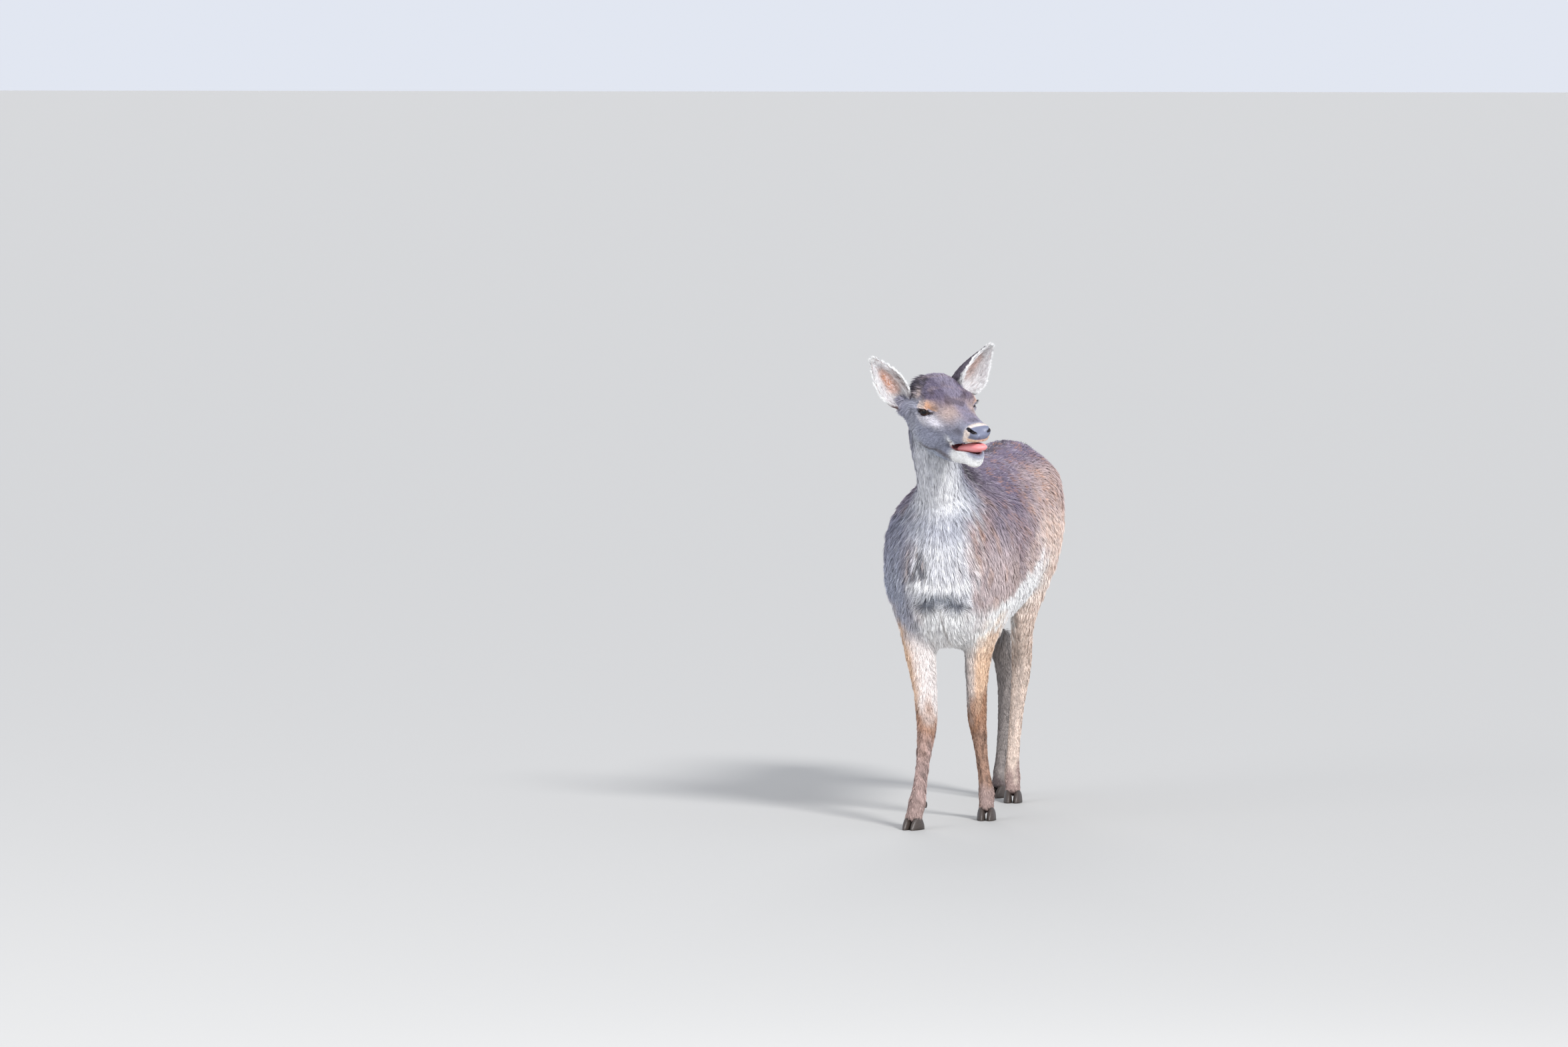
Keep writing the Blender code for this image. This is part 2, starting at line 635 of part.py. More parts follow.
# ---------------------------------------------------------------- feet and tail
def claw(name, coronet, direction, side):
    """One half of a cloven hoof: flat sole, upright inner wall, sloping toe."""
    bm = bmesh.new()
    rings = []
    for share, tall, wide in CLAW_SHAPE:
        forward = (share - CLAW_CENTRE) * CLAW_LENGTH
        top, half = CLAW_HEIGHT * tall, CLAW_HALF_WIDTH * wide
        rings.append([bm.verts.new((across * half, forward, height * top)) for across, height in CLAW_RING])
    for low, high in zip(rings, rings[1:]):
        for i in range(len(low)):
            j = (i + 1) % len(low)
            bm.faces.new((low[i], low[j], high[j], high[i]))
    bm.faces.new(rings[0])
    bm.faces.new(rings[-1])
    heading = math.atan2(direction.x, -direction.y) + math.pi + side * CLAW_SPLAY
    turn = Matrix.Rotation(heading, 4, "Z")
    beside = Matrix.Translation((side * (CLAW_HALF_WIDTH + CLAW_CLEFT), 0, 0))
    bm.transform(Matrix.Translation((coronet.x, coronet.y, 0)) @ turn @ beside)
    return new_object(name, bm)


def dewclaw(name, fetlock, direction, side):
    """A small cone behind the fetlock, pointing down and back."""
    bm = bmesh.new()
    bmesh.ops.create_cone(
        bm, cap_ends=True, segments=7, radius1=DEWCLAW_RADIUS, radius2=DEWCLAW_TIP, depth=DEWCLAW_LENGTH
    )
    across = Vector((-direction.y, direction.x, 0))
    down = Vector((0, 0, -1))
    centre = fetlock - direction * DEWCLAW_BACK + across * side * DEWCLAW_SIDE + down * DEWCLAW_DOWN
    lean = (-direction * 0.55 + across * side * 0.15 + down).normalized()
    bm.transform(Matrix.Translation(centre) @ lean.to_track_quat("Z", "Y").to_matrix().to_4x4())
    return new_object(name, bm)


def finish_feet(pieces):
    for leg, rows in LEGS.items():
        direction = toe_direction(leg)
        end, above = Vector(rows[-1][0]), Vector(rows[-2][0])
        coronet = end.lerp(above, (CORONET_HEIGHT - end.z) / (above.z - end.z))
        normal = direction * math.sin(CORONET_SLOPE) - Vector((0, 0, math.cos(CORONET_SLOPE)))
        lower = pieces["lower_" + leg]
        beyond = facing(coronet, normal)
        boolean(lower, block("foot", (0, 0, 0.05 - GAP), (0.12, 0.12, 0.10), beyond), "DIFFERENCE")
        fetlock = Vector(rows[-3][0])
        for side, word in ((-1, "right"), (1, "left")):
            name = f"claw_{leg}_{word}"
            toe = claw(name, coronet + direction * CLAW_FORWARD, direction, side)
            pieces[name] = boolean(toe, block("shin", (0, 0, -0.05), (0.12, 0.12, 0.10), beyond), "DIFFERENCE")
            name = f"dewclaw_{leg}_{word}"
            pieces[name] = dewclaw(name, fetlock, direction, side)
            carve(lower, pieces[name])
        biggest_part(lower)


def finish_tail(pieces):
    pieces["tail"] = loft("tail", line_stations(TAIL), 14, 1)
    carve(pieces["trunk"], pieces["tail"])


# ---------------------------------------------------------------- finish
def coat_of(name):
    if name.startswith("eye"):
        return "eye"
    if name.startswith(("claw", "dewclaw")):
        return "horn"
    if name == "tongue":
        return name
    if name.startswith(("lower_fore", "lower_hind", "upper_fore")):
        return "tan_coat"
    return {"neck": "pale_coat", "lower_jaw": "pale_coat", "tail": "dark_coat"}.get(name, "grey_coat")


def material(name):
    made = bpy.data.materials.get(name)
    if made is None:
        made = bpy.data.materials.new(name)
        made.use_nodes = True
        shader = made.node_tree.nodes["Principled BSDF"]
        shader.inputs["Base Color"].default_value = (*COAT[name], 1.0)
        shader.inputs["Roughness"].default_value = ROUGHNESS.get(name, 0.85)
        shader.inputs["Metallic"].default_value = 0.0
    return made


def main():
    for obj in list(bpy.data.objects):
        remove(obj)
    pieces = divided(fused_body())
    finish_head(pieces)
    finish_feet(pieces)
    finish_tail(pieces)
    for name, obj in pieces.items():
        obj.name = name
        obj.data.materials.clear()
        obj.data.materials.append(material(coat_of(name)))
        obj.data.transform(Matrix.Translation(-FOOTPRINT_CENTRE))
        obj.data.shade_smooth()
        obj.data.set_sharp_from_angle(angle=math.radians(50))


main()
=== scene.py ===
"""Looks of a young fallow deer in its first winter coat, a still life-size model with its mouth open.

One skin, from a field of distances to lofted flesh, replaces the solids of flesh. Short overlapping tufts
cover it. Everything is drawn in the deer's own frame (metres, the deer faces -Y, its left is +X) and moved by
ORIGIN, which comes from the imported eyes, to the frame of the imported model. Tables of rows and the places in
markings are in millimetres.
"""

import math

import bmesh
import bpy
import numpy as np
from mathutils import Matrix, Vector
from numpy.linalg import norm


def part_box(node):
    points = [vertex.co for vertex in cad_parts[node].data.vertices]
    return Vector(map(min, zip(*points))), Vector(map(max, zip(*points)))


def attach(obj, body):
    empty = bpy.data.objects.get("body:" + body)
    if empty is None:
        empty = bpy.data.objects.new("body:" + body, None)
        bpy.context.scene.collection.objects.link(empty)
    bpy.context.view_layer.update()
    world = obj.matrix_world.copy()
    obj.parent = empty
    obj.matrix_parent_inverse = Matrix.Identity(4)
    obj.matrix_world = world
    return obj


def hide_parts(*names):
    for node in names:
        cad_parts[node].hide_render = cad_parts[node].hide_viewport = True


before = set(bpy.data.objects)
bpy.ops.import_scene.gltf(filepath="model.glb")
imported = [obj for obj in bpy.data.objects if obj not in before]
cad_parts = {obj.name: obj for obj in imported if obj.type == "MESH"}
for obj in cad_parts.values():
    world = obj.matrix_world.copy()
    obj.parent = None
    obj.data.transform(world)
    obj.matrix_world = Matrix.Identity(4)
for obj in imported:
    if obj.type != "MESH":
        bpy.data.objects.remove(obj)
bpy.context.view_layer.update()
FAR = 0.2
RANDOM = np.random.default_rng(20)


def metres(rows):
    return np.array(rows, float) / 1000


# ---------------------------------------- pose and head frame
HEAD_CENTRE = Vector((0.053, -0.167, 0.783))  # midway between the eyes
HEAD_TURN = math.radians(48)
HEAD_NOD = math.radians(18)
HEAD_TILT = math.radians(7)
EYE_RADIUS = 0.0145
EYE_CENTRE = np.array((0.0425, -0.002, 0.0))  # left eye in head coordinates: side, forward, up
MOUTH_HINGE = (0.0, -0.03, -0.012)
MOUTH_OPEN = math.radians(9.5)


def axes_matrix(x, y, z, origin):
    return Matrix([[x[i], y[i], z[i], origin[i]] for i in range(3)] + [[0, 0, 0, 1]])


def head_frame():
    """Head coordinates (side, forward, up) to the deer's frame."""
    forward = Vector((math.sin(HEAD_TURN), -math.cos(HEAD_TURN), 0.0)) * math.cos(HEAD_NOD)
    forward.z = -math.sin(HEAD_NOD)
    side = Matrix.Rotation(HEAD_TILT, 3, forward) @ Vector((math.cos(HEAD_TURN), math.sin(HEAD_TURN), 0.0))
    return axes_matrix(side, forward, forward.cross(side), HEAD_CENTRE)


HEAD = head_frame()
HINGE = Matrix.Translation(MOUTH_HINGE)
OPEN_JAW = HINGE @ Matrix.Rotation(-MOUTH_OPEN, 4, "X") @ HINGE.inverted()  # from the closed jaw

eyes = [sum((Vector(corner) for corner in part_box(name)), Vector()) / 2 for name in ("eye_left", "eye_right")]
BETWEEN_EYES = HEAD @ Vector((0, EYE_CENTRE[1], EYE_CENTRE[2]))
ORIGIN = np.array(BETWEEN_EYES - (eyes[0] + eyes[1]) / 2)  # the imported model's origin in the deer's frame
ORIGIN[2] = 0.0  # both frames have the floor at zero

# ---------------------------------------- flesh, measured to the tips of the coat
# y, middle x, top, where it is widest, bottom, half width
TRUNK = metres([
    (-88, 4, 560, 510, 465, 30),
    (-74, 4, 594, 500, 410, 62),
    (-45, 4, 622, 490, 366, 88),
    (0, 2, 646, 475, 330, 100),
    (50, 0, 666, 475, 320, 112),
    (110, 0, 678, 480, 319, 121),
    (200, 0, 682, 490, 336, 127),
    (300, 0, 686, 505, 358, 125),
    (390, 0, 696, 528, 392, 118),
    (460, 0, 700, 545, 410, 109),
    (530, 0, 684, 570, 450, 92),
    (575, 0, 655, 575, 490, 70),
    (598, 0, 615, 573, 535, 38),
])
# centre, half width, half depth; TAIL and LEGS too
NECK = metres([
    (0, 90, 535, 80, 100),
    (1, 30, 580, 64, 98),
    (3, -22, 628, 49.5, 75),
    (4, -62, 676, 45.5, 61),
    (2, -90, 720, 46.5, 56),
    (4, -108, 757, 45.5, 51),
    (12, -122, 785, 40, 44),
])
# Head coordinates: forward, middle side, top, widest height, bottom, half width
SKULL = metres([
    (-92, 0, 10, -8, -30, 18),
    (-82, 0, 33, -10, -56, 33),
    (-60, 0, 48, -12, -78, 42.5),
    (-34, 0, 55, -14, -89, 46),
    (-8, 0, 50, -12, -88, 48),
    (14, 0, 40, -10, -80, 45),
    (34, 0, 28, -12, -67, 38.5),
    (50, 0, 20.5, -14, -52, 33),
    (64, 0, 15.5, -14, -41.5, 29.5),
    (80, 0, 11, -12, -34, 26.5),
    (94, 0, 8.5, -10, -28, 24.8),
    (107, 0, 6, -9, -23.5, 23.5),
    (117, 0, -0.5, -9, -19.5, 19),
    (123.5, 0, -7, -11, -15, 11),
])
# with the mouth closed
JAW = metres([
    (-10, 0, -36, -66, -95.5, 26),
    (20, 0, -40, -66, -89.5, 27),
    (45, 0, -44.5, -62, -81.5, 23.5),
    (62, 0, -42.5, -56, -74.5, 20.5),
    (80, 0, -36, -49, -66, 19),
    (96, 0, -29, -42, -58.5, 18),
    (110, 0, -24.5, -36, -52.5, 16.5),
    (119, 0, -24, -33, -45, 12),
    (124, 0, -27, -32, -38, 5),
])
# forward, middle height, half width, half height
TONGUE = metres([
    (54, -59, 8, 5),
    (66, -54, 11, 8),
    (82, -47.2, 13, 9.8),
    (98, -40.8, 13.8, 10.2),
    (112, -36.2, 13.4, 9.4),
    (124, -32.2, 11, 6.8),
    (131, -30, 6, 3.6),
])
EARS = {  # root, axis and the way the opening faces, in head coordinates
    -1: ((-0.0527, -0.069, -0.008), (-0.55, -0.245, 0.8), (-0.35, 0.93, 0.0)),
    1: ((0.047, -0.06, 0.0105), (0.61, 0.2, 0.765), (0.22, 0.975, 0.0)),
}
EAR_LENGTH, EAR_SET_BACK, EAR_CURL = 0.107, 0.008, 0.004
EAR_SKIN = 0.0017  # thickness of the ear's own skin
EAR_MOST_CLOSED = 112
EAR_CUP = {-1: (0.92, 1.0), 1: (1.12, 1.24)}  # each cup's width and closing, times the values below
EAR = [  # share of its length, half width in metres, degrees the cup closes to each side
    (0.0, 0.015, 112),
    (0.08, 0.02, 104),
    (0.2, 0.025, 90),
    (0.34, 0.028, 78),
    (0.5, 0.0265, 68),
    (0.66, 0.0212, 58),
    (0.8, 0.0145, 50),
    (0.91, 0.0086, 42),
    (1.0, 0.0025, 34),
]
TAIL = metres([
    (0, 572, 668, 21, 19),
    (0, 600, 645, 23, 18),
    (0, 622, 600, 26, 15),
    (0, 632, 550, 26, 13),
    (0, 636, 500, 20, 11),
    (0, 636, 462, 11, 7),
    (0, 635, 446, 5, 4),
])
LEGS = {
    "fore_right": metres([
        (-60, 64, 594, 22, 48),
        (-67, 62, 568, 40, 70),
        (-77, 56, 530, 47.5, 80),
        (-78, 50, 480, 48.5, 80),
        (-74, 40, 430, 44, 66),
        (-58, 23, 370, 34, 47),
        (-46.5, 8, 315, 28.5, 34),
        (-30, -20, 252, 21.5, 25),
        (-19, -47, 195, 18, 20.5),
        (-18, -61, 165, 15, 17.5),
        (-18.5, -79, 118, 11.2, 13.8),
        (-20.5, -95, 72, 11.8, 14.5),
        (-22.5, -102, 50, 14.6, 17.5),
        (-24.5, -112, 31, 13.8, 15.5),
        (-26, -121, 12, 15, 17.5),
    ]),
    "fore_left": metres([
        (60, 64, 594, 22, 48),
        (67, 62, 568, 40, 70),
        (77, 58, 530, 47.5, 80),
        (78, 56, 480, 48.5, 80),
        (74, 58, 430, 44, 66),
        (60, 66, 365, 33, 47),
        (47.5, 74, 315, 25.5, 33),
        (43, 80, 252, 20, 24),
        (42.5, 84, 195, 18, 20.5),
        (44, 92, 165, 15, 17.5),
        (47.5, 100, 118, 11.2, 13.8),
        (52, 107, 72, 12.2, 14.5),
        (54.5, 108, 50, 15, 17.5),
        (56.5, 101, 31, 13.8, 15.5),
        (58, 94, 12, 15, 17.5),
    ]),
    "hind_right": metres([
        (-54, 460, 610, 50, 88),
        (-67, 465, 540, 44, 100),
        (-73, 470, 470, 38, 98),
        (-70, 480, 410, 32, 72),
        (-58, 515, 355, 24, 46),
        (-48, 562, 308, 19, 31),
        (-42, 588, 278, 19, 27),
        (-38, 594, 240, 16.5, 20.5),
        (-35, 587, 190, 13.5, 16.5),
        (-34.5, 573, 120, 11.5, 14.5),
        (-35.5, 566, 72, 12.5, 15.5),
        (-36, 563, 50, 15, 18),
        (-37, 553, 31, 13.8, 15.5),
        (-38.5, 544, 12, 15, 17.5),
    ]),
    "hind_left": metres([
        (54, 455, 610, 50, 88),
        (66, 450, 540, 43, 97),
        (64, 434, 470, 36, 89),
        (53, 430, 410, 30, 65),
        (39, 442, 355, 23, 43),
        (30, 466, 308, 19, 31),
        (26, 481, 278, 19, 27),
        (23, 483, 240, 17.5, 20.5),
        (18, 479, 190, 14, 16.5),
        (13, 473, 120, 12, 14.5),
        (10.8, 470, 72, 13, 15.5),
        (11, 468, 50, 15.3, 18),
        (14, 459, 31, 14, 15.5),
        (17, 450, 12, 15, 17.5),
    ]),
}
HOCKS = {-1: (-0.043, 0.612, 0.302), 1: (0.027, 0.505, 0.302)}
HOCK_RADII = (0.0125, 0.013, 0.022)
BUTTOCK, BUTTOCK_RADII = (0.046, 0.55, 0.56), (0.04, 0.04, 0.075)
TOE_TURN = {"fore_right": -8, "fore_left": 10, "hind_right": -10, "hind_left": 10}
SIDES = ((-1, "right"), (1, "left"))


# ---------------------------------------- small tools
def columns(*parts):
    """Numbers, or arrays of them, side by side."""
    return np.stack(np.broadcast_arrays(*parts), -1)


def resampled(rows, steps):
    """A smooth Catmull-Rom chain through the rows' numbers, with steps spans between neighbours."""
    rows = np.array(rows, float)
    padded = np.vstack([2 * rows[0] - rows[1], rows, 2 * rows[-1] - rows[-2]])
    out = []
    for i in range(len(rows) - 1):
        a, b, c, d = padded[i : i + 4]
        for t in np.arange(steps) / steps:
            bend = (2 * a - 5 * b + 4 * c - d) * t**2 + (3 * b - a - 3 * c + d) * t**3
            out.append(0.5 * (2 * b + (c - a) * t + bend))
    return np.array(out + [rows[-1]])


def rising(rows):
    """Rows of a part's line in order of height."""
    return rows[np.argsort(rows[:, 2])]


def smooth(low, high, x):
    """0 below low, 1 above high, eased between. low may be the higher number."""
    t = np.clip((x - low) / (high - low), 0, 1)
    return t * t * (3 - 2 * t)


def bump(x, centre, width):
    return np.exp(-(((x - centre) / width) ** 2))


def mixed(a, b, share):
    """Rows of a moved towards b by share, one number for each row."""
    return a + (b - a) * np.asarray(share)[..., None]


def unit(v):
    return v / np.maximum(norm(v, axis=-1, keepdims=True), 1e-12)


def dots(a, b):
    return np.einsum("ij,ij->i", a, b)


def moved(points, matrix):
    m = np.array(matrix)
    return points @ m[:3, :3].T + m[:3, 3]


def mirrored(p):
    """Points with those on the right brought over to the left."""
    return columns(np.abs(p[:, 0]), p[:, 1], p[:, 2])


def union(a, b, k):
    """The nearer of two distances, eased over k where they meet."""
    h = np.clip(1 - np.abs(a - b) / k, 0, None)
    return np.minimum(a, b) - h * h * k / 4


def without(a, cut, k):
    """a with cut taken away, eased over k."""
    return -union(-a, cut, k)


def radial(q, radii):
    """Distance to an ellipsoid or ellipse from offsets q to its centre."""
    length = norm(q, axis=-1)
    share = norm(q / radii, axis=-1)
    return length - np.where(share > 1e-3, length / np.maximum(share, 1e-3), np.min(radii, axis=-1))


def loft_distance(p, rows, power):
    """Distance to a loft along p's second axis, with rows like TRUNK's."""
    y = np.clip(p[:, 1], rows[0, 0], rows[-1, 0])
    middle, top, wide, low, half = (np.interp(y, rows[:, 0], rows[:, k]) for k in range(1, 6))
    across, height = np.abs(p[:, 0] - middle), p[:, 2] - wide
    rise = np.where(height > 0, top - wide, wide - low)
    share = ((across / half) ** power + (np.abs(height) / rise) ** power) ** (1 / power)
    length = np.hypot(across, height)
    d = length - np.where(share > 1e-3, length / np.maximum(share, 1e-3), np.minimum(half, rise))
    past = np.abs(p[:, 1] - y)
    return np.where(past > 0, np.hypot(np.maximum(d, 0), past), d)


def tube_distance(p, rows, room=0.036):
    """Distance to a tube of elliptic section through rows like NECK's; FAR beyond room."""
    best = np.full(len(p), FAR)
    for a, b in zip(rows[:-1], rows[1:]):
        reach = max(*a[3:], *b[3:]) + room
        low, high = np.minimum(a[:3], b[:3]) - reach, np.maximum(a[:3], b[:3]) + reach
        near = np.flatnonzero(((p > low) & (p < high)).all(1))
        if len(near) == 0:
            continue
        along = b[:3] - a[:3]
        length = norm(along)
        along = along / length
        side = unit(np.array((1.0, 0, 0)) - along * along[0])
        q = p[near] - a[:3]
        t = np.clip(q @ along / length, 0, 1)[:, None]
        half = a[3:] + t * (b[3:] - a[3:])
        q = q - t * (along * length)
        local = columns(q @ side, q @ np.cross(side, along), q @ along)
        best[near] = np.minimum(best[near], radial(local, columns(half[:, 0], half[:, 1], half.min(1))))
    return best


def capsule_distance(p, points, radii):
    """Distance to a round tube through points, with a radius at each; FAR well away from it."""
    best = np.full(len(p), FAR)
    points = np.array(points, float)
    low, high = points.min(0) - max(radii) - 0.02, points.max(0) + max(radii) + 0.02
    near = np.flatnonzero(((p > low) & (p < high)).all(1))
    for a, b, ra, rb in zip(points[:-1], points[1:], radii[:-1], radii[1:]):
        q = p[near] - a
        t = np.clip(q @ (b - a) / ((b - a) @ (b - a)), 0, 1)
        best[near] = np.minimum(best[near], norm(q - t[:, None] * (b - a), axis=1) - ra - t * (rb - ra))
    return best


# ---------------------------------------- the field of the skin
SKULL_ROWS, JAW_ROWS, TRUNK_ROWS = resampled(SKULL, 6), resampled(JAW, 6), resampled(TRUNK, 6)
NECK_ROWS, TAIL_ROWS, EAR_ROWS = resampled(NECK, 3), resampled(TAIL, 2), resampled(EAR, 6)
LEG_ROWS = {leg: resampled(rows, 2) for leg, rows in LEGS.items()}
TO_HEAD = HEAD.inverted()
TO_JAW = (HEAD @ OPEN_JAW).inverted()

# The coat's depth over the skin
TRUNK_DEPTH, NECK_DEPTH, TAIL_DEPTH = 0.011, 0.01, 0.008
LEG_DEPTH = ((0.03, 0.1, 0.2, 0.3, 0.42, 0.55), (0.0012, 0.0014, 0.002, 0.0035, 0.0075, 0.0105))
HEAD_DEPTH = ((-0.09, -0.05, 0.0, 0.06, 0.1), (0.007, 0.005, 0.0026, 0.0014, 0.0004))

# The eye's opening: ways out of the eye, to its front corner and up, in head coordinates of the left side
GAZE = unit(np.array((0.89, 0.45, 0.07)))
EYE_FORE = np.array((-0.45, 0.89, 0.132))
EYE_FORE = unit(EYE_FORE - GAZE * (EYE_FORE @ GAZE))
EYE_UP = np.cross(GAZE, EYE_FORE)
EYE_UP = EYE_UP * np.sign(EYE_UP[2])
LID = 0.0026
OPENING_LENGTH, OPENING_UP, OPENING_DOWN = 0.0125, 0.0054, 0.0048

# Lines in head coordinates of the left side, and their radii; those of the jaw are with the mouth closed
UPPER_LIP = metres([
    (26, 57, -47), (23.8, 75, -36), (21.8, 92, -27.8),
    (18.5, 107, -20.8), (10, 116.5, -18.2), (0, 118.5, -17.8),
])
LOWER_LIP = metres([
    (17.8, 60, -46.2), (16.8, 80, -39.5), (15.2, 96, -32.5),
    (12.5, 110, -28), (6.5, 118.5, -27.5), (0, 120.5, -28),
])
UPPER_LIP_RADII = (0.003, 0.0036, 0.004, 0.0042, 0.004, 0.0038)
LOWER_LIP_RADII = (0.0025, 0.003, 0.0034, 0.0036, 0.0036, 0.0036)
LIP_SIDE = metres([(25.8, 54, -38), (24, 75, -28.5), (21.8, 92, -21.5), (19, 104, -15.5)])
CHEEKBONE = metres([(34, 34, -20), (43, 12, -20), (44.5, -20, -14), (40, -50, -4)])
PALATE = metres([(0, 46, -47), (0, 75, -36), (0, 97, -26.5), (0, 106, -22.5)])
PALATE_RADII = (0.016, 0.017, 0.0135, 0.0095)
MOUTH_FLOOR = metres([(0, 50, -40), (0, 75, -33.5), (0, 98, -25.5), (0, 110, -22.5)])
FLOOR_RADII = (0.012, 0.012, 0.0105, 0.007)
NOSTRIL = metres([(20.8, 101.5, 1.5), (20.8, 108.5, 0.2), (17.8, 117.5, -2), (12, 121.5, -3.2)])
NOSTRIL_RADII = (0.0016, 0.0027, 0.0022, 0.001)
TEAR_GLAND = [EYE_CENTRE + EYE_FORE * a + EYE_UP * b + GAZE * c for a, b, c in
              ((0.016, -0.001, 0.0065), (0.022, -0.004, 0.003), (0.029, -0.008, 0.0))]


def eye_place(p):
    """Offsets from the nearer eye's centre along its front corner, up and out, mirrored to the left side."""
    q = mirrored(p) - EYE_CENTRE
    return q, q @ EYE_FORE, q @ EYE_UP, q @ GAZE


def opening(fore, up):
    """Negative inside the almond between the lids, and in the tear slit at its front."""
    arch = 1 - (fore / OPENING_LENGTH) ** 2
    tall = np.where(up > 0, OPENING_UP, OPENING_DOWN)
    almond = np.abs(up) - np.where(arch > 0, tall * arch, -0.5 * (np.abs(fore) - OPENING_LENGTH))
    slit = np.maximum(np.abs(up + 0.0006) - 0.0008, np.abs(fore - 0.0135) - 0.0035)
    return np.minimum(almond, slit)


def head_distance(p):
    """Distance to the skin of the head, from points in head coordinates."""
    m = mirrored(p)
    d = loft_distance(p, SKULL_ROWS, 2.1)
    d = union(d, radial(m - (0.035, 0.004, 0.017), (0.015, 0.021, 0.012)), 0.01)  # brow
    d = union(d, radial(m - (0.034, -0.012, -0.046), (0.015, 0.036, 0.03)), 0.02)  # chewing muscle
    d = union(d, capsule_distance(m, CHEEKBONE, (0.006, 0.007, 0.007, 0.006)), 0.012)
    d = union(d, radial(m - (0.0135, 0.11, -0.004), (0.0095, 0.01, 0.0085)), 0.006)  # nostril wing
    d = union(d, capsule_distance(m, LIP_SIDE, (0.005, 0.0052, 0.005, 0.0045)), 0.006)
    d = union(d, capsule_distance(m, UPPER_LIP, UPPER_LIP_RADII), 0.005)
    d = without(d, capsule_distance(m, PALATE, PALATE_RADII), 0.004)

    q = moved(p, TO_JAW @ HEAD)
    j = loft_distance(q, JAW_ROWS, 2.1)
    j = union(j, capsule_distance(mirrored(q), LOWER_LIP, LOWER_LIP_RADII), 0.005)
    j = union(j, radial(q - (0, 0.108, -0.044), (0.015, 0.015, 0.0105)), 0.006)  # chin
    j = without(j, capsule_distance(q, MOUTH_FLOOR, FLOOR_RADII), 0.003)
    d = union(d, j, 0.008)
    for root, axis, _ in EARS.values():
        root, axis = np.array(root), unit(np.array(axis))
        stump = [root - axis * 0.03, root - axis * 0.008, root + axis * 0.005]
        d = union(d, capsule_distance(p, stump, (0.012, 0.0175, 0.012)), 0.024)
    d = d + np.interp(p[:, 1], *HEAD_DEPTH)

    q, fore, up, out = eye_place(p)
    reach = norm(q, axis=1)
    d = union(d, reach - (EYE_RADIUS + LID), 0.007)
    gap = opening(fore, up)
    near = smooth(0.024, 0.017, reach) * (out > 0)
    d = d - near * 0.0007 * bump(gap, 0.001, 0.0011)  # the lids' rims stand up
    d = d + near * np.where(up > 0, 0.001 * bump(gap, 0.0054, 0.0012), 0.0006 * bump(gap, 0.0048, 0.0012))
    d = without(d, capsule_distance(m, TEAR_GLAND, (0.0012, 0.0022, 0.0012)), 0.004)
    d = without(d, np.maximum(gap, -out), 0.0008)
    d = np.maximum(d, EYE_RADIUS + 0.0003 - reach)

    d = without(d, capsule_distance(m, NOSTRIL, NOSTRIL_RADII), 0.0015)
    passage = [(0.015, 0.1095, -0.003), (0.0105, 0.098, -0.004)]
    d = without(d, capsule_distance(m, passage, (0.003, 0.003)), 0.0015)
    cleft = np.maximum(m[:, 0] - 0.0004, 0) + np.maximum(0.112 - m[:, 1], 0)
    return d + 0.0008 * bump(cleft, 0, 0.0016) * smooth(-0.006, -0.012, p[:, 2])


CORONET_HEIGHT, CORONET_SLOPE = 0.0205, math.radians(24)


def coronet(leg):
    """A point, the way to the toe and the way down of the plane where a leg's skin meets its claws."""
    above, end = LEGS[leg][-2:, :3]
    point = end + (above - end) * (CORONET_HEIGHT - end[2]) / (above[2] - end[2])
    turn = math.radians(TOE_TURN[leg])
    toe = np.array((math.sin(turn), -math.cos(turn), 0.0))
    return point, toe, toe * math.sin(CORONET_SLOPE) - np.array((0, 0, math.cos(CORONET_SLOPE)))


def leg_distance(leg):
    point, _, down = coronet(leg)

    def distance(p):
        d = tube_distance(p, LEG_ROWS[leg])
        if leg.startswith("hind"):
            d = union(d, radial(p - HOCKS[-1 if leg.endswith("right") else 1], HOCK_RADII), 0.012)
        d = d + np.interp(p[:, 2], *LEG_DEPTH)
        return np.maximum(d, (p - point) @ down - 0.002)

    return distance


TRUNK_LINE = columns(TRUNK[:, 1], TRUNK[:, 0], (TRUNK[:, 2] + TRUNK[:, 4]) / 2)


def parts_of_body():
    """(lowest corner, highest corner, easing, distance) of each part, each box with room for the easing."""
    parts = []

    def add(points, radius, k, distance):
        points = np.array(points)
        parts.append((points.min(0) - radius, points.max(0) + radius, k, distance))

    add(TRUNK_LINE, 0.235, 0.03, lambda p: loft_distance(p, TRUNK_ROWS, 2.0) + TRUNK_DEPTH)
    for side, _ in SIDES:
        centre = np.array(BUTTOCK) * (side, 1, 1)
        add([centre], 0.12, 0.03, lambda p, c=centre: radial(p - c, BUTTOCK_RADII) + TRUNK_DEPTH)
    add(NECK[:, :3], 0.15, 0.035, lambda p: tube_distance(p, NECK_ROWS) + NECK_DEPTH)
    for leg, rows in LEGS.items():
        add(rows[:, :3], 0.135, 0.03, leg_distance(leg))
    add(TAIL[:, :3], 0.05, 0.012, lambda p: tube_distance(p, TAIL_ROWS) + TAIL_DEPTH)
    corners = [HEAD @ Vector((side, fore, up)) for side in (-0.065, 0.068) for fore in (-0.09, 0.12)
               for up in (-0.1, 0.05)]
    add(corners, 0.03, 0.022, lambda p: head_distance(moved(p, TO_HEAD)))
    return parts


PARTS = parts_of_body()


def field(points):
    total = np.full(len(points), FAR)
    for low, high, k, distance in PARTS:
        near = np.all((points > low) & (points < high), axis=1)
        if near.any():
            total[near] = union(total[near], distance(points[near]), k)
    return total


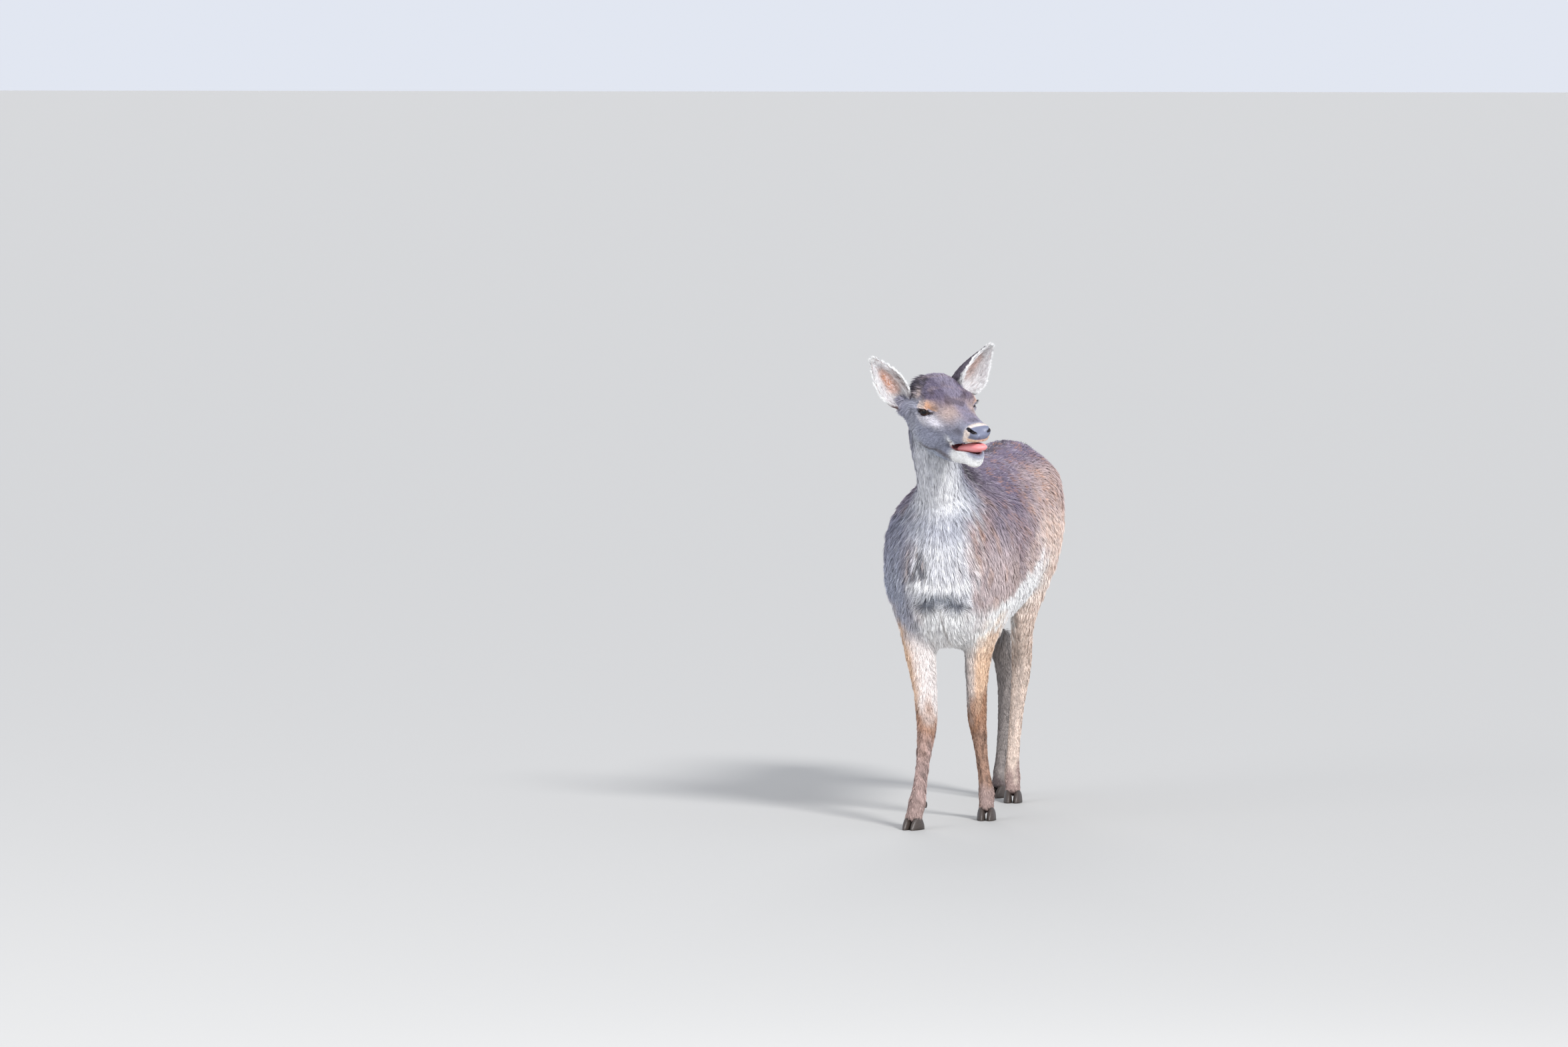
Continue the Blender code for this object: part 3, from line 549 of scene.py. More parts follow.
def grid_field(xs, ys, zs):
    total = np.full((len(xs), len(ys), len(zs)), FAR)
    for low, high, k, distance in PARTS:
        i, j, l = (slice(*np.searchsorted(axis, (low[n], high[n]))) for n, axis in enumerate((xs, ys, zs)))
        points = np.stack(np.meshgrid(xs[i], ys[j], zs[l], indexing="ij"), -1).reshape(-1, 3)
        block = total[i, j, l]
        total[i, j, l] = union(block, distance(points).reshape(block.shape), k)
    return total


def settled(points, rounds=2, most=0.003, probe=0.0003):
    """Points moved onto the skin, each step at most that long."""
    for _ in range(rounds):
        value = field(points)
        gradient = columns(*(field(points + np.eye(3)[n] * probe) - value for n in range(3))) / probe
        step = -value[:, None] * gradient / np.maximum((gradient**2).sum(1), 0.05)[:, None]
        points = points + step * np.minimum(1, most / np.maximum(norm(step, axis=1, keepdims=True), 1e-9))
    return points


# ---------------------------------------- surface of the field
def graded(stops):
    """Grid lines from (start, spacing) stops to the last stop, each stretch with its spacing."""
    lines = [np.arange(a, b - spacing * 0.4, spacing) for (a, spacing), (b, _) in zip(stops, stops[1:])]
    return np.concatenate(lines + [[stops[-1][0]]])


def surface(F, xs, ys, zs):
    """Surface nets of F: a point in each cell that the surface crosses, a quad for each edge."""
    inside = F < 0
    grid = (xs, ys, zs)
    corners = [(i, j, l) for i in (0, 1) for j in (0, 1) for l in (0, 1)]
    count = sum(inside[tuple(slice(at, at + size - 1) for at, size in zip(corner, F.shape))].astype(np.int8)
                for corner in corners)
    active = (count > 0) & (count < 8)
    index = np.full(active.shape, -1, np.int64)
    cells = np.argwhere(active)
    index[tuple(cells.T)] = np.arange(len(cells))
    total, crossings = np.zeros((len(cells), 3)), np.zeros(len(cells))
    for axis in range(3):
        for corner in corners:
            if corner[axis]:
                continue
            first = cells + corner
            second = first + np.eye(3, dtype=int)[axis]
            fa, fb = F[tuple(first.T)], F[tuple(second.T)]
            cross = (fa < 0) != (fb < 0)
            share = np.where(cross, fa / np.where(cross, fa - fb, 1), 0)[:, None]
            pa, pb = (columns(*(grid[n][cell[:, n]] for n in range(3))) for cell in (first, second))
            total += np.where(cross[:, None], pa + (pb - pa) * share, 0)
            crossings += cross
    quads = []
    for axis in range(3):
        u, v = [n for n in range(3) if n != axis]
        edges = np.argwhere(np.diff(inside, axis=axis))
        edges = edges[(edges[:, u] > 0) & (edges[:, v] > 0)]
        edges = edges[(edges[:, u] < active.shape[u]) & (edges[:, v] < active.shape[v])]
        ring = []
        for du, dv in ((1, 1), (0, 1), (0, 0), (1, 0)):
            cell = edges.copy()
            cell[:, u] -= du
            cell[:, v] -= dv
            ring.append(index[tuple(cell.T)])
        ring = columns(*ring)
        flip = inside[tuple(edges.T)] == (axis == 1)
        ring[flip] = ring[flip][:, ::-1]
        quads.append(ring)
    return total / crossings[:, None], np.concatenate(quads)


def halved(quads, points):
    """Each quad as two triangles, along its shorter diagonal."""
    a, b = (norm(points[quads[:, n]] - points[quads[:, n + 2]], axis=1) for n in (0, 1))
    turned = np.where((a < b)[:, None], quads, np.roll(quads, -1, axis=1))
    return np.concatenate([turned[:, (0, 1, 2)], turned[:, (0, 2, 3)]])


def eased(points, faces, share=0.5):
    """Points moved towards the middle of their neighbours."""
    start = faces[:, (0, 1, 2, 1, 2, 0)].T.ravel()
    end = faces[:, (1, 2, 0, 0, 1, 2)].T.ravel()
    count = np.bincount(start, minlength=len(points))
    total = columns(*(np.bincount(start, points[end, n], len(points)) for n in range(3)))
    return points + (total / np.maximum(count, 1)[:, None] - points) * share


def refined(points, faces, chosen):
    """The chosen triangles cut in four, and their neighbours cut to match."""
    edges = np.sort(faces[:, ((0, 1), (1, 2), (2, 0))].reshape(-1, 2), axis=1)
    keys, inverse = np.unique(edges[:, 0] * len(points) + edges[:, 1], return_inverse=True)
    inverse = inverse.reshape(-1, 3)
    split = np.zeros(len(keys), bool)
    split[inverse[chosen].ravel()] = True
    middle = (points[keys[split] // len(points)] + points[keys[split] % len(points)]) / 2
    number = np.full(len(keys), -1)
    number[split] = len(points) + np.arange(split.sum())
    mids = number[inverse]
    count = (mids >= 0).sum(1)
    out = [faces[count == 0]]
    (a, b, c), (p, q, r) = faces[count == 3].T, mids[count == 3].T
    out += [columns(a, p, r), columns(p, b, q), columns(r, q, c), columns(p, q, r)]
    for lead in range(3):
        turn = np.roll(range(3), -lead)
        one = (count == 1) & (mids[:, lead] >= 0)
        (a, b, c), (p, q, r) = faces[one][:, turn].T, mids[one][:, turn].T
        out += [columns(a, p, c), columns(p, b, c)]
        two = (count == 2) & (mids[:, lead] < 0)
        (a, b, c), (p, q, r) = faces[two][:, turn].T, mids[two][:, turn].T
        out += [columns(a, b, q), columns(a, q, r), columns(r, q, c)]
    return np.vstack([points, middle]), np.concatenate(out)


def skin_surface():
    """The skin's points and triangles, finest round the eyes, nose and mouth."""
    xs = graded([(-0.152, 0.003), (0.205, 0)])
    ys = graded([(-0.29, 0.0025), (-0.085, 0.0052), (0.67, 0)])
    zs = graded([(0.004, 0.0048), (0.66, 0.0025), (0.872, 0)])
    points, quads = surface(grid_field(xs, ys, zs), xs, ys, zs)
    faces = halved(quads, points)
    for _ in range(2):
        points = settled(eased(points, faces), 1)
    for _ in range(2):
        middle = moved(points[faces].mean(1), TO_HEAD)
        q, fore, up, out = eye_place(middle)
        chosen = (norm(q, axis=1) < 0.022) & (out > 0) & (np.abs(opening(fore, up)) < 0.0045)
        chosen |= capsule_distance(mirrored(middle), NOSTRIL, (0.004, 0.005, 0.005, 0.003)) < 0
        points, faces = refined(points, faces, chosen)
        fine = np.flatnonzero(norm(moved(points, TO_HEAD) - (0, 0.06, 0), axis=1) < 0.1)
        points[fine] = settled(eased(points, faces, 0.3)[fine], 2)
    return points, faces


def mesh_object(name, points, faces):
    """A smooth object from arrays of points, in the deer's frame, and triangles."""
    mesh = bpy.data.meshes.new(name)
    mesh.vertices.add(len(points))
    mesh.vertices.foreach_set("co", (points - ORIGIN).astype(np.float32).ravel())
    mesh.loops.add(len(faces) * 3)
    mesh.loops.foreach_set("vertex_index", faces.astype(np.int32).ravel())
    mesh.polygons.add(len(faces))
    mesh.polygons.foreach_set("loop_start", np.arange(0, len(faces) * 3, 3, dtype=np.int32))
    mesh.polygons.foreach_set("use_smooth", np.ones(len(faces), bool))
    mesh.update(calc_edges=True)
    obj = bpy.data.objects.new(name, mesh)
    bpy.context.scene.collection.objects.link(obj)
    return obj


def closed_tube(rings):
    """Points and triangles of rings of points joined in a row and closed at both ends, facing out."""
    count, around, _ = rings.shape
    points = np.vstack([rings.reshape(-1, 3), rings[0].mean(0), rings[-1].mean(0)])
    i, j = (n.ravel() for n in np.meshgrid(np.arange(count - 1), np.arange(around), indexing="ij"))
    a, b = i * around + j, i * around + (j + 1) % around
    ring = np.arange(around)
    after, last = np.roll(ring, -1), (count - 1) * around
    faces = np.concatenate([
        columns(a, b, b + around), columns(a, b + around, a + around),
        columns(after, ring, count * around), columns(ring + last, after + last, count * around + 1)])
    corners = points[faces] - points.mean(0)
    volume = dots(corners[:, 0], np.cross(corners[:, 1], corners[:, 2])).sum()
    return points, faces[:, ::-1] if volume < 0 else faces


# ---------------------------------------- ears
def ear_frame(side):
    root, axis, opening_way = (Vector(numbers) for numbers in EARS[side])
    axis.normalize()
    facing = (opening_way - axis * opening_way.dot(axis)).normalized()
    return HEAD @ axes_matrix(axis.cross(facing), facing, axis, root)


def ear_section(side, share):
    """The cup's radius, its centre and the angle it closes to each side, at shares of the ear's length."""
    half, closing = (np.interp(share, EAR_ROWS[:, 0], EAR_ROWS[:, k]) for k in (1, 2))
    closing = np.radians(np.minimum(closing * EAR_CUP[side][1], EAR_MOST_CLOSED))
    radius = half * EAR_CUP[side][0] / np.sin(np.minimum(closing, math.pi / 2))
    return radius, radius * 0.9 - EAR_SET_BACK + EAR_CURL * share**2, closing


def ear_points(side, share, angle_share, side_of_skin):
    """Points of the ear's cup: share of its length, -1 to 1 across, +1 outside or -1 inside."""
    radius, centre, closing = ear_section(side, share)
    rim = np.sqrt(np.clip(1 - angle_share**6, 0, 1))
    folds = -0.0007 * np.cos(angle_share * 9) * smooth(0.9, 0.5, share) * (side_of_skin < 0)
    reach = radius + (side_of_skin * EAR_SKIN / 2 + folds) * rim
    angle = closing * angle_share
    return columns(reach * np.sin(angle), centre - reach * np.cos(angle), EAR_LENGTH * share)


def ear_surface(side, rings=44, across=26):
    """The ear's points and triangles, and for each point whether it is inside the cup."""
    share, turn = np.linspace(-0.05, 0.985, rings), np.linspace(-1, 1, across)
    outer = ear_points(side, *np.meshgrid(share, turn, indexing="ij"), 1.0)
    inner = ear_points(side, *np.meshgrid(share, turn[::-1], indexing="ij"), -1.0)
    ring = np.concatenate([outer, inner[:, 1:-1]], axis=1)
    inside = np.tile(np.arange(ring.shape[1]) >= across, rings)
    return *closed_tube(moved(ring, ear_frame(side))), np.append(inside, (False, False))


# ---------------------------------------- colours, as they look in daylight, with some painted shade and light
SILVER, WHITE, CREAM, GREY = (208, 209, 215), (250, 249, 248), (226, 212, 203), (138, 138, 154)
DARK, BLACK, TAN, ORANGE = (101, 92, 113), (42, 37, 42), (224, 192, 164), (190, 138, 102)
KNEE, CANNON, FOOT, PINK = (168, 126, 98), (167, 134, 116), (160, 138, 132), (232, 158, 158)
WHORLS = ((-14.5, 412.5), (38.5, 412.5))  # x and z of the two whorls on the chest, in millimetres
CHEST_MIDDLE = 12


def linear(colour):
    """A colour's red, green and blue, up to 255, in linear light. Arrays are in linear light already."""
    if isinstance(colour, np.ndarray):
        return colour
    c = np.array(colour) / 255
    return np.where(c > 0.04045, ((c + 0.055) / 1.055) ** 2.4, c / 12.92)


def painted(colour, *layers):
    """A colour under layers of (colour, share), each over the ones before it."""
    colour = linear(colour)
    for over, share in layers:
        colour = mixed(colour, linear(over), share)
    return colour


def millimetres(p):
    return p.T * 1000


def noise(p, size, seed=0):
    """Smooth noise between -1 and 1, from random waves about size across."""
    waves = np.random.default_rng(seed)
    total = np.zeros(len(p))
    for _ in range(7):
        way = unit(waves.normal(size=3)) * (2 * math.pi / size) * waves.uniform(0.6, 1.5)
        total += np.sin(p @ way + waves.uniform(0, 2 * math.pi))
    return np.clip(total / 2.6, -1, 1)


def part_weights(p):
    """How much each part of the body owns each point; the nearest part owns most."""
    distances = {
        "trunk": np.minimum(loft_distance(p, TRUNK_ROWS, 2.0), radial(mirrored(p) - BUTTOCK, BUTTOCK_RADII)),
        "neck": tube_distance(p, NECK_ROWS),
        "tail": tube_distance(p, TAIL_ROWS) - 0.003,
        "head": np.minimum(loft_distance(moved(p, TO_HEAD), SKULL_ROWS, 2.1),
                           loft_distance(moved(p, TO_JAW), JAW_ROWS, 2.1)),
    }
    for leg, rows in LEG_ROWS.items():
        distances[leg] = tube_distance(p, rows) + 0.004 * smooth(0.4, 0.5, p[:, 2])
    nearest = np.min(list(distances.values()), axis=0)
    weights = {name: np.exp(-(d - nearest) / 0.01) for name, d in distances.items()}
    total = sum(weights.values())
    return {name: w / total for name, w in weights.items()}


def dark_tuft(h):
    """Share of the dark tuft at the right ear, at points in head coordinates."""
    side, fore, up = millimetres(h)
    return smooth(24, 12, np.hypot(side + 31, 0.9 * (fore + 56))) * smooth(0, 10, up)


def head_colour(h):
    """The coat's colour on the head, from points in head coordinates."""
    left, fore, up = millimetres(h)
    side = np.abs(left)
    q, eye_fore, eye_up, _ = (part * 1000 for part in eye_place(h))
    near = smooth(34, 18, norm(q, axis=1))
    ring = near * smooth(3, 6, eye_up - 2 + 0.12 * np.abs(eye_fore)) * smooth(25, 15, eye_up)
    crown = smooth(4, 26, up + 0.1 * (60 - np.abs(fore - 10))) * smooth(100, 70, fore)
    bridge = smooth(20, 10, side) * smooth(-4, 6, up) * smooth(100, 88, fore)
    edge = smooth(50, 64, fore) * bump(up + 0.36 * (fore - 55), -52, 12)
    muzzle = smooth(97, 105, fore + 0.25 * np.maximum(side - 10, 0)) * smooth(-30, -24, up)
    jaw = smooth(-60, -74, up + 0.22 * fore) * smooth(60, -10, fore)
    line = bump(up + 0.16 * fore, -70, 5.5) * smooth(60, 45, fore) * smooth(-35, -15, fore)
    return painted(
        (148, 151, 169),
        (GREY, smooth(-50, -10, up) * 0.7),
        (DARK, crown),
        ((138, 130, 148), bridge * 0.8),
        ((196, 172, 160), bump(fore, 44, 26) * bump(up, 8, 16) * smooth(4, 18, side) * 0.75),
        ((228, 210, 200), ring * 0.85),
        ((222, 172, 138), ring * smooth(-4, 8, eye_fore) * 0.9),
        ((226, 222, 228), near * smooth(-2, -8, eye_up) * 0.75),
        ((228, 224, 230), bump(fore, 28, 12) * bump(up, -14, 9) * 0.8),
        ((104, 102, 114), bump(fore, 80, 10) * bump(up, -12, 9) * smooth(12, 20, side) * 0.8),
        (WHITE, smooth(-30, -44, up + 0.35 * (fore - 60)) * smooth(36, 62, fore)),
        (WHITE, edge * 0.45),
        (CREAM, muzzle),
        ((210, 166, 130), smooth(104, 110, fore) * bump(up, -19, 3.8) * 0.75),
        ((104, 98, 110), bump(fore, 87, 7) * smooth(12, 7, side) * (up > 0) * 0.6),
        ((176, 188, 204), jaw * 0.5),
        ((100, 92, 94), line * smooth(12, 22, side) * 0.8),
        ((178, 140, 92), bump(fore, 104, 8) * bump(up, -78, 5) * 0.7),
        ((36, 24, 28), dark_tuft(h) * (0.75 + 0.25 * noise(h, 0.008, 12))),
        ((206, 184, 176), bump(left, -38, 6) * bump(fore, -40, 7) * bump(up, 18, 8) * 0.9),
        ((80, 66, 72), smooth(0.1, 0.7, noise(h, 0.03, 8)) * crown * 0.55),
        ((150, 134, 140), smooth(0.25, 0.8, noise(h, 0.02, 9)) * crown * 0.4),
        ((96, 86, 100), smooth(30, 45, left) * smooth(-30, -45, fore) * smooth(-10, 10, up) * 0.8),
        (DARK, smooth(-60, -86, fore) * smooth(-30, 0, up) * 0.8),
    )


def trunk_colour(p):
    x, y, z = millimetres(p)
    wide = np.abs(x)
    high = z + 20 * noise(p, 0.1, 3)
    back = smooth(150, 360, y + 0.35 * (550 - z) + 30 * noise(p, 0.05, 24))
    line = 418 + 0.26 * y + 0.0018 * np.clip(y - 180, 0, 200) ** 2
    thigh = smooth(265, 310, y) * smooth(425, 450, z)
    belly = smooth(line + 8, line - 18, z + 6 * noise(p, 0.03, 6)) * smooth(-30, 20, y) * (1 - thigh)
    groin = bump(y, 325, 65) * smooth(520, 460, z) * smooth(122, 100, wide)
    seam = bump(y - 0.35 * (z - 500), 262, 34) * smooth(420, 460, z) * smooth(580, 490, z)
    front = smooth(75, 5, y + 50 * smooth(440, 410, z))
    shoulder = painted(
        (196, 180, 180),
        ((214, 208, 212), smooth(420, 360, z)),
        ((140, 130, 146), smooth(480, 580, z)),
        ((112, 102, 120), smooth(585, 640, z)),
        ((186, 152, 132), smooth(0.35, 0.9, noise(p * (1, 1, 0.5), 0.035, 22)) * 0.45),
    )
    # painted shade: the right shoulder's grey coat, painted bluer and darker as it looks in shade
    shaded_right_shoulder = painted((140, 142, 162), ((184, 192, 210), smooth(530, 450, z + 20 * noise(p, 0.04, 23))))
    rump = smooth(550, 585, y)
    rim = bump(wide, 66 + 0.03 * (z - 550), 9) * smooth(480, 520, z) * smooth(680, 655, z)
    colour = painted(
        (186, 168, 164),
        ((156, 139, 146), smooth(440, 540, high)),
        ((116, 105, 124), smooth(530, 630, high) * smooth(-20, 60, y)),
        (BLACK, bump(x, 0, 14) * smooth(600, 660, z) * 0.6),
        ((230, 208, 196), back * smooth(650, 520, z) * 0.95),
        ((196, 172, 164), back * smooth(550, 600, z) * smooth(670, 630, z) * 0.8),
        (WHITE, belly),
        (WHITE, groin * 0.95),
        ((222, 212, 210), seam * 0.45),
        (shoulder, front * smooth(30, 60, wide) * 0.95),
        ((178, 138, 118), bump(x, 70, 16) * bump(z, 545, 50) * smooth(60, -10, y) * 0.75),
        # painted shade over the front of the right side
        (shaded_right_shoulder, front * smooth(-40, -70, x) * smooth(600, 560, z) * 0.85),
        (WHITE, rump * smooth(85, 50, wide) * smooth(440, 500, z) * smooth(670, 645, z)),
        (BLACK, rump * rim * 0.85),
    )
    colour = chest_colour(p, colour, smooth(35, -35, y))
    return painted(colour, (BLACK, smooth(560, 600, y) * smooth(630, 660, z) * 0.8))


def chest_colour(p, colour, front):
    """The chest's markings, and painted shade on its right side, over a colour, where front says."""
    x, _, z = millimetres(p)
    middle = smooth(72, 34, np.abs(x - CHEST_MIDDLE) + 10 * noise(p * (1, 1, 0.4), 0.03, 21))
    breast = painted((214, 214, 218), ((184, 186, 196), smooth(505, 560, z)), (WHITE, smooth(425, 395, z)))
    streaks = smooth(36, 14, np.hypot(x + 32, 0.7 * (z - 488)))
    thin = p * (1, 1, 0.25)
    arch = bump(np.hypot((x - CHEST_MIDDLE) * 0.9, (z - 402) * 0.9), 27, 12) * smooth(400, 414, z)
    layers = [
        (breast, middle),
        # painted shade: the right side of the breast painted blue-grey
        ((150, 154, 170), smooth(-20, -50, x) * 0.6),
        ((58, 58, 72), streaks * smooth(-0.75, 0.05, noise(thin, 0.012, 5)) * 0.85),
        ((168, 128, 104), streaks * smooth(0.55, 0.9, noise(thin, 0.008, 15)) * 0.4),
        (WHITE, bump(x, CHEST_MIDDLE + 10, 34) * smooth(415, 390, z)),
        ((118, 124, 134), arch * 0.85),
        *(((104, 108, 120), smooth(24, 3, np.hypot(x - wx, z - wz)) * 0.85) for wx, wz in WHORLS),
        (WHITE, bump(z, 452, 10) * middle * 0.7),
        ((136, 128, 122), bump(x, CHEST_MIDDLE, 2.2) * smooth(415, 395, z) * 0.6),
    ]
    return painted(colour, *((over, front * share) for over, share in layers))


def beside(p, rows):
    """The middle x and y, half width and half depth of a part's line at each point's height."""
    line = rising(rows)
    return (np.interp(p[:, 2], line[:, 2], line[:, k]) for k in (0, 1, 3, 4))


def neck_colour(p):
    cx, cy, half, depth = beside(p, NECK_ROWS)
    ahead, out = (cy - p[:, 1]) / depth, (p[:, 0] - cx) / half
    z = p[:, 2] * 1000
    turn = HEAD_TURN * smooth(600, 770, z)
    ahead, out = ahead * np.cos(turn) + out * np.sin(turn), out * np.cos(turn) - ahead * np.sin(turn)
    colour = painted(
        GREY,
        (SILVER, smooth(-0.15, 0.55, ahead + 0.1 * out)),
        (WHITE, smooth(0.3, 0.9, ahead) * smooth(-0.2, 0.4, out) * 0.45),
        ((128, 120, 132), smooth(0.0, -0.5, ahead)),
        ((60, 54, 64), smooth(-0.38, -0.72, ahead)),
        # painted light: the lower front of the neck whitened against the shade of its own denser coat
        (WHITE, smooth(680, 610, z) * smooth(0.0, 0.6, ahead) * 0.15),
    )
    return chest_colour(p, colour, smooth(520, 460, z))


def leg_colour(p, leg):
    left = leg.endswith("left")
    sign = 1 if left else -1
    cx, cy, half, _ = beside(p, LEG_ROWS[leg])
    out, ahead = sign * (p[:, 0] - cx) / half, (cy - p[:, 1]) / half
    dirt = (0.5 + 0.5 * noise(p * (1, 1, 0.45), 0.011, 31 + sign)) ** 2
    z = p[:, 2] * 1000 + 18 * noise(p * (1, 1, 0.5), 0.02, 33) - 10 * out
    if leg.startswith("fore"):
        cannon = linear(CANNON if left else (170, 146, 140))
        white = (224, 217, 215)
        inner = smooth(0.35, -0.25, out) * 0.75 if left else smooth(0.55, 0.1, out) * 0.95
        return painted(
            cannon * 1.1,
            (cannon * 0.5, dirt * 0.9),
            (KNEE, bump(z, 200, 35) * smooth(-0.4, 0.4, ahead) * 0.8),
            (FOOT, smooth(75, 35, z)),
            (TAN, smooth(200, 275, z)),
            (white, inner * smooth(185, 255, z)),
            # painted shade: grey on the inner side of the left foreleg
            ((150, 150, 154), left * smooth(-0.35, -0.8, out) * smooth(200, 260, z) * 0.65),
            ((214, 182, 160), bump(ahead, 0.75, 0.3) * bump(out, 0.15, 0.3) * smooth(230, 270, z) * 0.7),
            (white, left * smooth(0.2, -0.6, ahead) * smooth(210, 250, z) * smooth(400, 350, z) * 0.6),
            (trunk_colour(p), smooth(335, 400, z)),
        )
    hair = linear((222, 203, 190))
    thigh = painted((236, 216, 204), ((212, 188, 176), smooth(500, 600, z) * 0.8))
    colour = painted(
        hair,
        (hair * 0.62, dirt * smooth(340, 240, z) * 0.55),
        ((140, 128, 124), bump(out, 0.1, 0.35) * smooth(100, 140, z) * smooth(360, 270, z) * 0.35),
        (FOOT, smooth(75, 35, z)),
        ((132, 110, 100), bump(z, 240, 20) * smooth(0.0, -0.7, ahead) * 0.7),
        (WHITE, smooth(0.1, -0.5, out) * smooth(300, 380, z) * 0.7),
        (thigh, smooth(300, 420, z) * smooth(-0.2, 0.2, out)),
    )
    if not left:
        colour = painted(colour, (colour * (0.37, 0.4, 0.44), smooth(420, 320, z)))  # mostly painted shade: the other hind leg's shade, painted on this leg from every side
    return painted(colour, (trunk_colour(p), smooth(500, 600, z)))


def tail_colour(p):
    x, y, z = millimetres(p)
    _, middle, _, _ = beside(p, TAIL_ROWS)
    return painted(
        BLACK,
        (WHITE, smooth(10, 16, np.abs(x)) * smooth(660, 630, z)),
        (WHITE, smooth(-2, -8, y - middle * 1000) * smooth(640, 620, z)),
        ((176, 142, 108), smooth(490, 465, z) * 0.7),
    )


def markings(p, weights):
    """The coat's colour at points in the deer's frame, with painted shade on the right side and legs and
    painted light on the lower neck.
    """
    colours = {"head": head_colour(moved(p, TO_HEAD)), "trunk": trunk_colour(p), "neck": neck_colour(p),
               "tail": tail_colour(p), **{leg: leg_colour(p, leg) for leg in LEGS}}
    return sum(colour * weights[part][:, None] for part, colour in colours.items())


def bare_skin(p):
    """Share of bare skin, which is as wet, and its colour: nose pad, lids' rims, lips and mouth."""
    h = moved(p, TO_HEAD)
    m = mirrored(h)
    side, fore, up = millimetres(m)
    near_head = smooth(0.15, 0.14, norm(h - (0, 0.03, -0.02), axis=1))
    pad = smooth(101.2, 103.4, fore + 0.2 * side + 0.25 * np.minimum(up, 0)) * smooth(23.5, 21.5, side)
    pad_top = up + 0.15 * (108 - fore) + 0.25 * np.maximum(side - 12, 0)
    pad = pad * smooth(-17.5, -15.5, up) * smooth(6, 4, pad_top)
    nostril = smooth(0.0018, 0.0006, capsule_distance(m, NOSTRIL, NOSTRIL_RADII))
    q, eye_fore, eye_up, out = eye_place(h)
    near_eye = smooth(0.022, 0.019, norm(q, axis=1)) * (out > 0)
    lids = near_eye * smooth(0.0026, 0.0012, opening(eye_fore, eye_up))
    roof = capsule_distance(m, PALATE, PALATE_RADII)
    floor = capsule_distance(moved(p, TO_JAW), MOUTH_FLOOR, FLOOR_RADII)
    mouth = np.maximum(smooth(0.0034, 0.0024, roof), smooth(0.0042, 0.003, floor))
    lip = np.minimum(smooth(0.0006, 0.0022, roof), smooth(0.0006, 0.0022, floor))
    inside = painted((84, 38, 42), (PINK, lip * 0.85))
    colour = painted((104, 108, 127), ((24, 20, 26), nostril), ((52, 42, 46), lids), (inside, mouth))
    return np.maximum.reduce([pad, nostril, lids, mouth]) * near_head, colour


# ---------------------------------------- the lie and make of the coat
HEAD_AXES = np.array(HEAD.to_3x3())


def flow(p, weights):
    """The way that hairs lie at points in the deer's frame, before it is laid on the skin."""
    x, y, z = millimetres(p)
    wide = np.abs(x)
    slant = smooth(30, 100, wide) * smooth(660, 560, z)
    breast = columns((x - CHEST_MIDDLE) / 100, 0.1, -1.0)
    trunk = columns(0.1 * np.sign(x) * smooth(600, 680, z), 1.0, -0.15 - 0.75 * slant)
    trunk = mixed(trunk, (0, 0.25, -1), smooth(400, 530, y) * smooth(680, 600, z))
    trunk = mixed(trunk, (0, 0.55, -1), smooth(120, 20, y) * smooth(30, 70, wide))
    trunk = mixed(trunk, breast, smooth(0, -40, y))
    side, fore, up = millimetres(moved(p, TO_HEAD))
    rise = 0.35 * smooth(10, 40, up) * smooth(-20, 30, fore) - 0.9 * smooth(-40, -80, fore)
    rise -= 0.55 * smooth(20, -30, up) * smooth(70, 20, fore)
    head = columns(0.25 * np.sign(side) * smooth(2, 20, np.abs(side)), -1.0, rise) @ HEAD_AXES.T
    down = np.array((0.0, 0.0, -1.0))
    ways = {"trunk": trunk, "neck": np.array((0, 0.45, -1)), "head": head,
            "tail": columns(0.0, 0.15 + 0.95 * smooth(580, 640, z), -1.0), **{leg: down for leg in LEGS}}
    total = sum(way * weights[part][:, None] for part, way in ways.items())
    front = smooth(10, -40, y) * (weights["head"] < 0.3)
    for wx, wz in WHORLS:
        dx, dz = x - wx, z - wz
        near = np.hypot(dx, dz)
        whorl = columns(dx, 0.0, dz - 0.45 * near) / np.maximum(near, 0.1)[:, None]
        whorl = mixed(whorl, down, smooth(14, 5, np.abs(x - CHEST_MIDDLE)))
        total = mixed(total, whorl * 1.2, front * smooth(30, 12, near) * smooth(436, 424, z))
    return total


# Length, width and lift in millimetres and tufts in a square metre: places, then the values there
HEAD_COAT = (  # places ahead, in head coordinates
    ((-80, -40, 0, 50, 100, 120), (17, 11, 7.5, 5.5, 3, 2.2)),
    ((-80, 0, 100), (0.85, 0.65, 0.5)),
    ((-80, -40, 0, 50, 100), (5, 3, 1.6, 1, 0.6)),
    ((-80, -20, 30, 100), (1.2e6, 1.7e6, 2.0e6, 2.7e6)),
)
LEG_COAT = (  # places above the floor
    ((20, 100, 200, 300, 450), (6.5, 6, 8, 13, 19)),
    ((50, 250, 450), (0.7, 0.8, 1.05)),
    ((50, 200, 300, 450), (1.1, 1.6, 2.8, 5.6)),
    ((50, 200, 300, 450), (1.3e6, 1.2e6, 9.0e5, 4.8e5)),
)


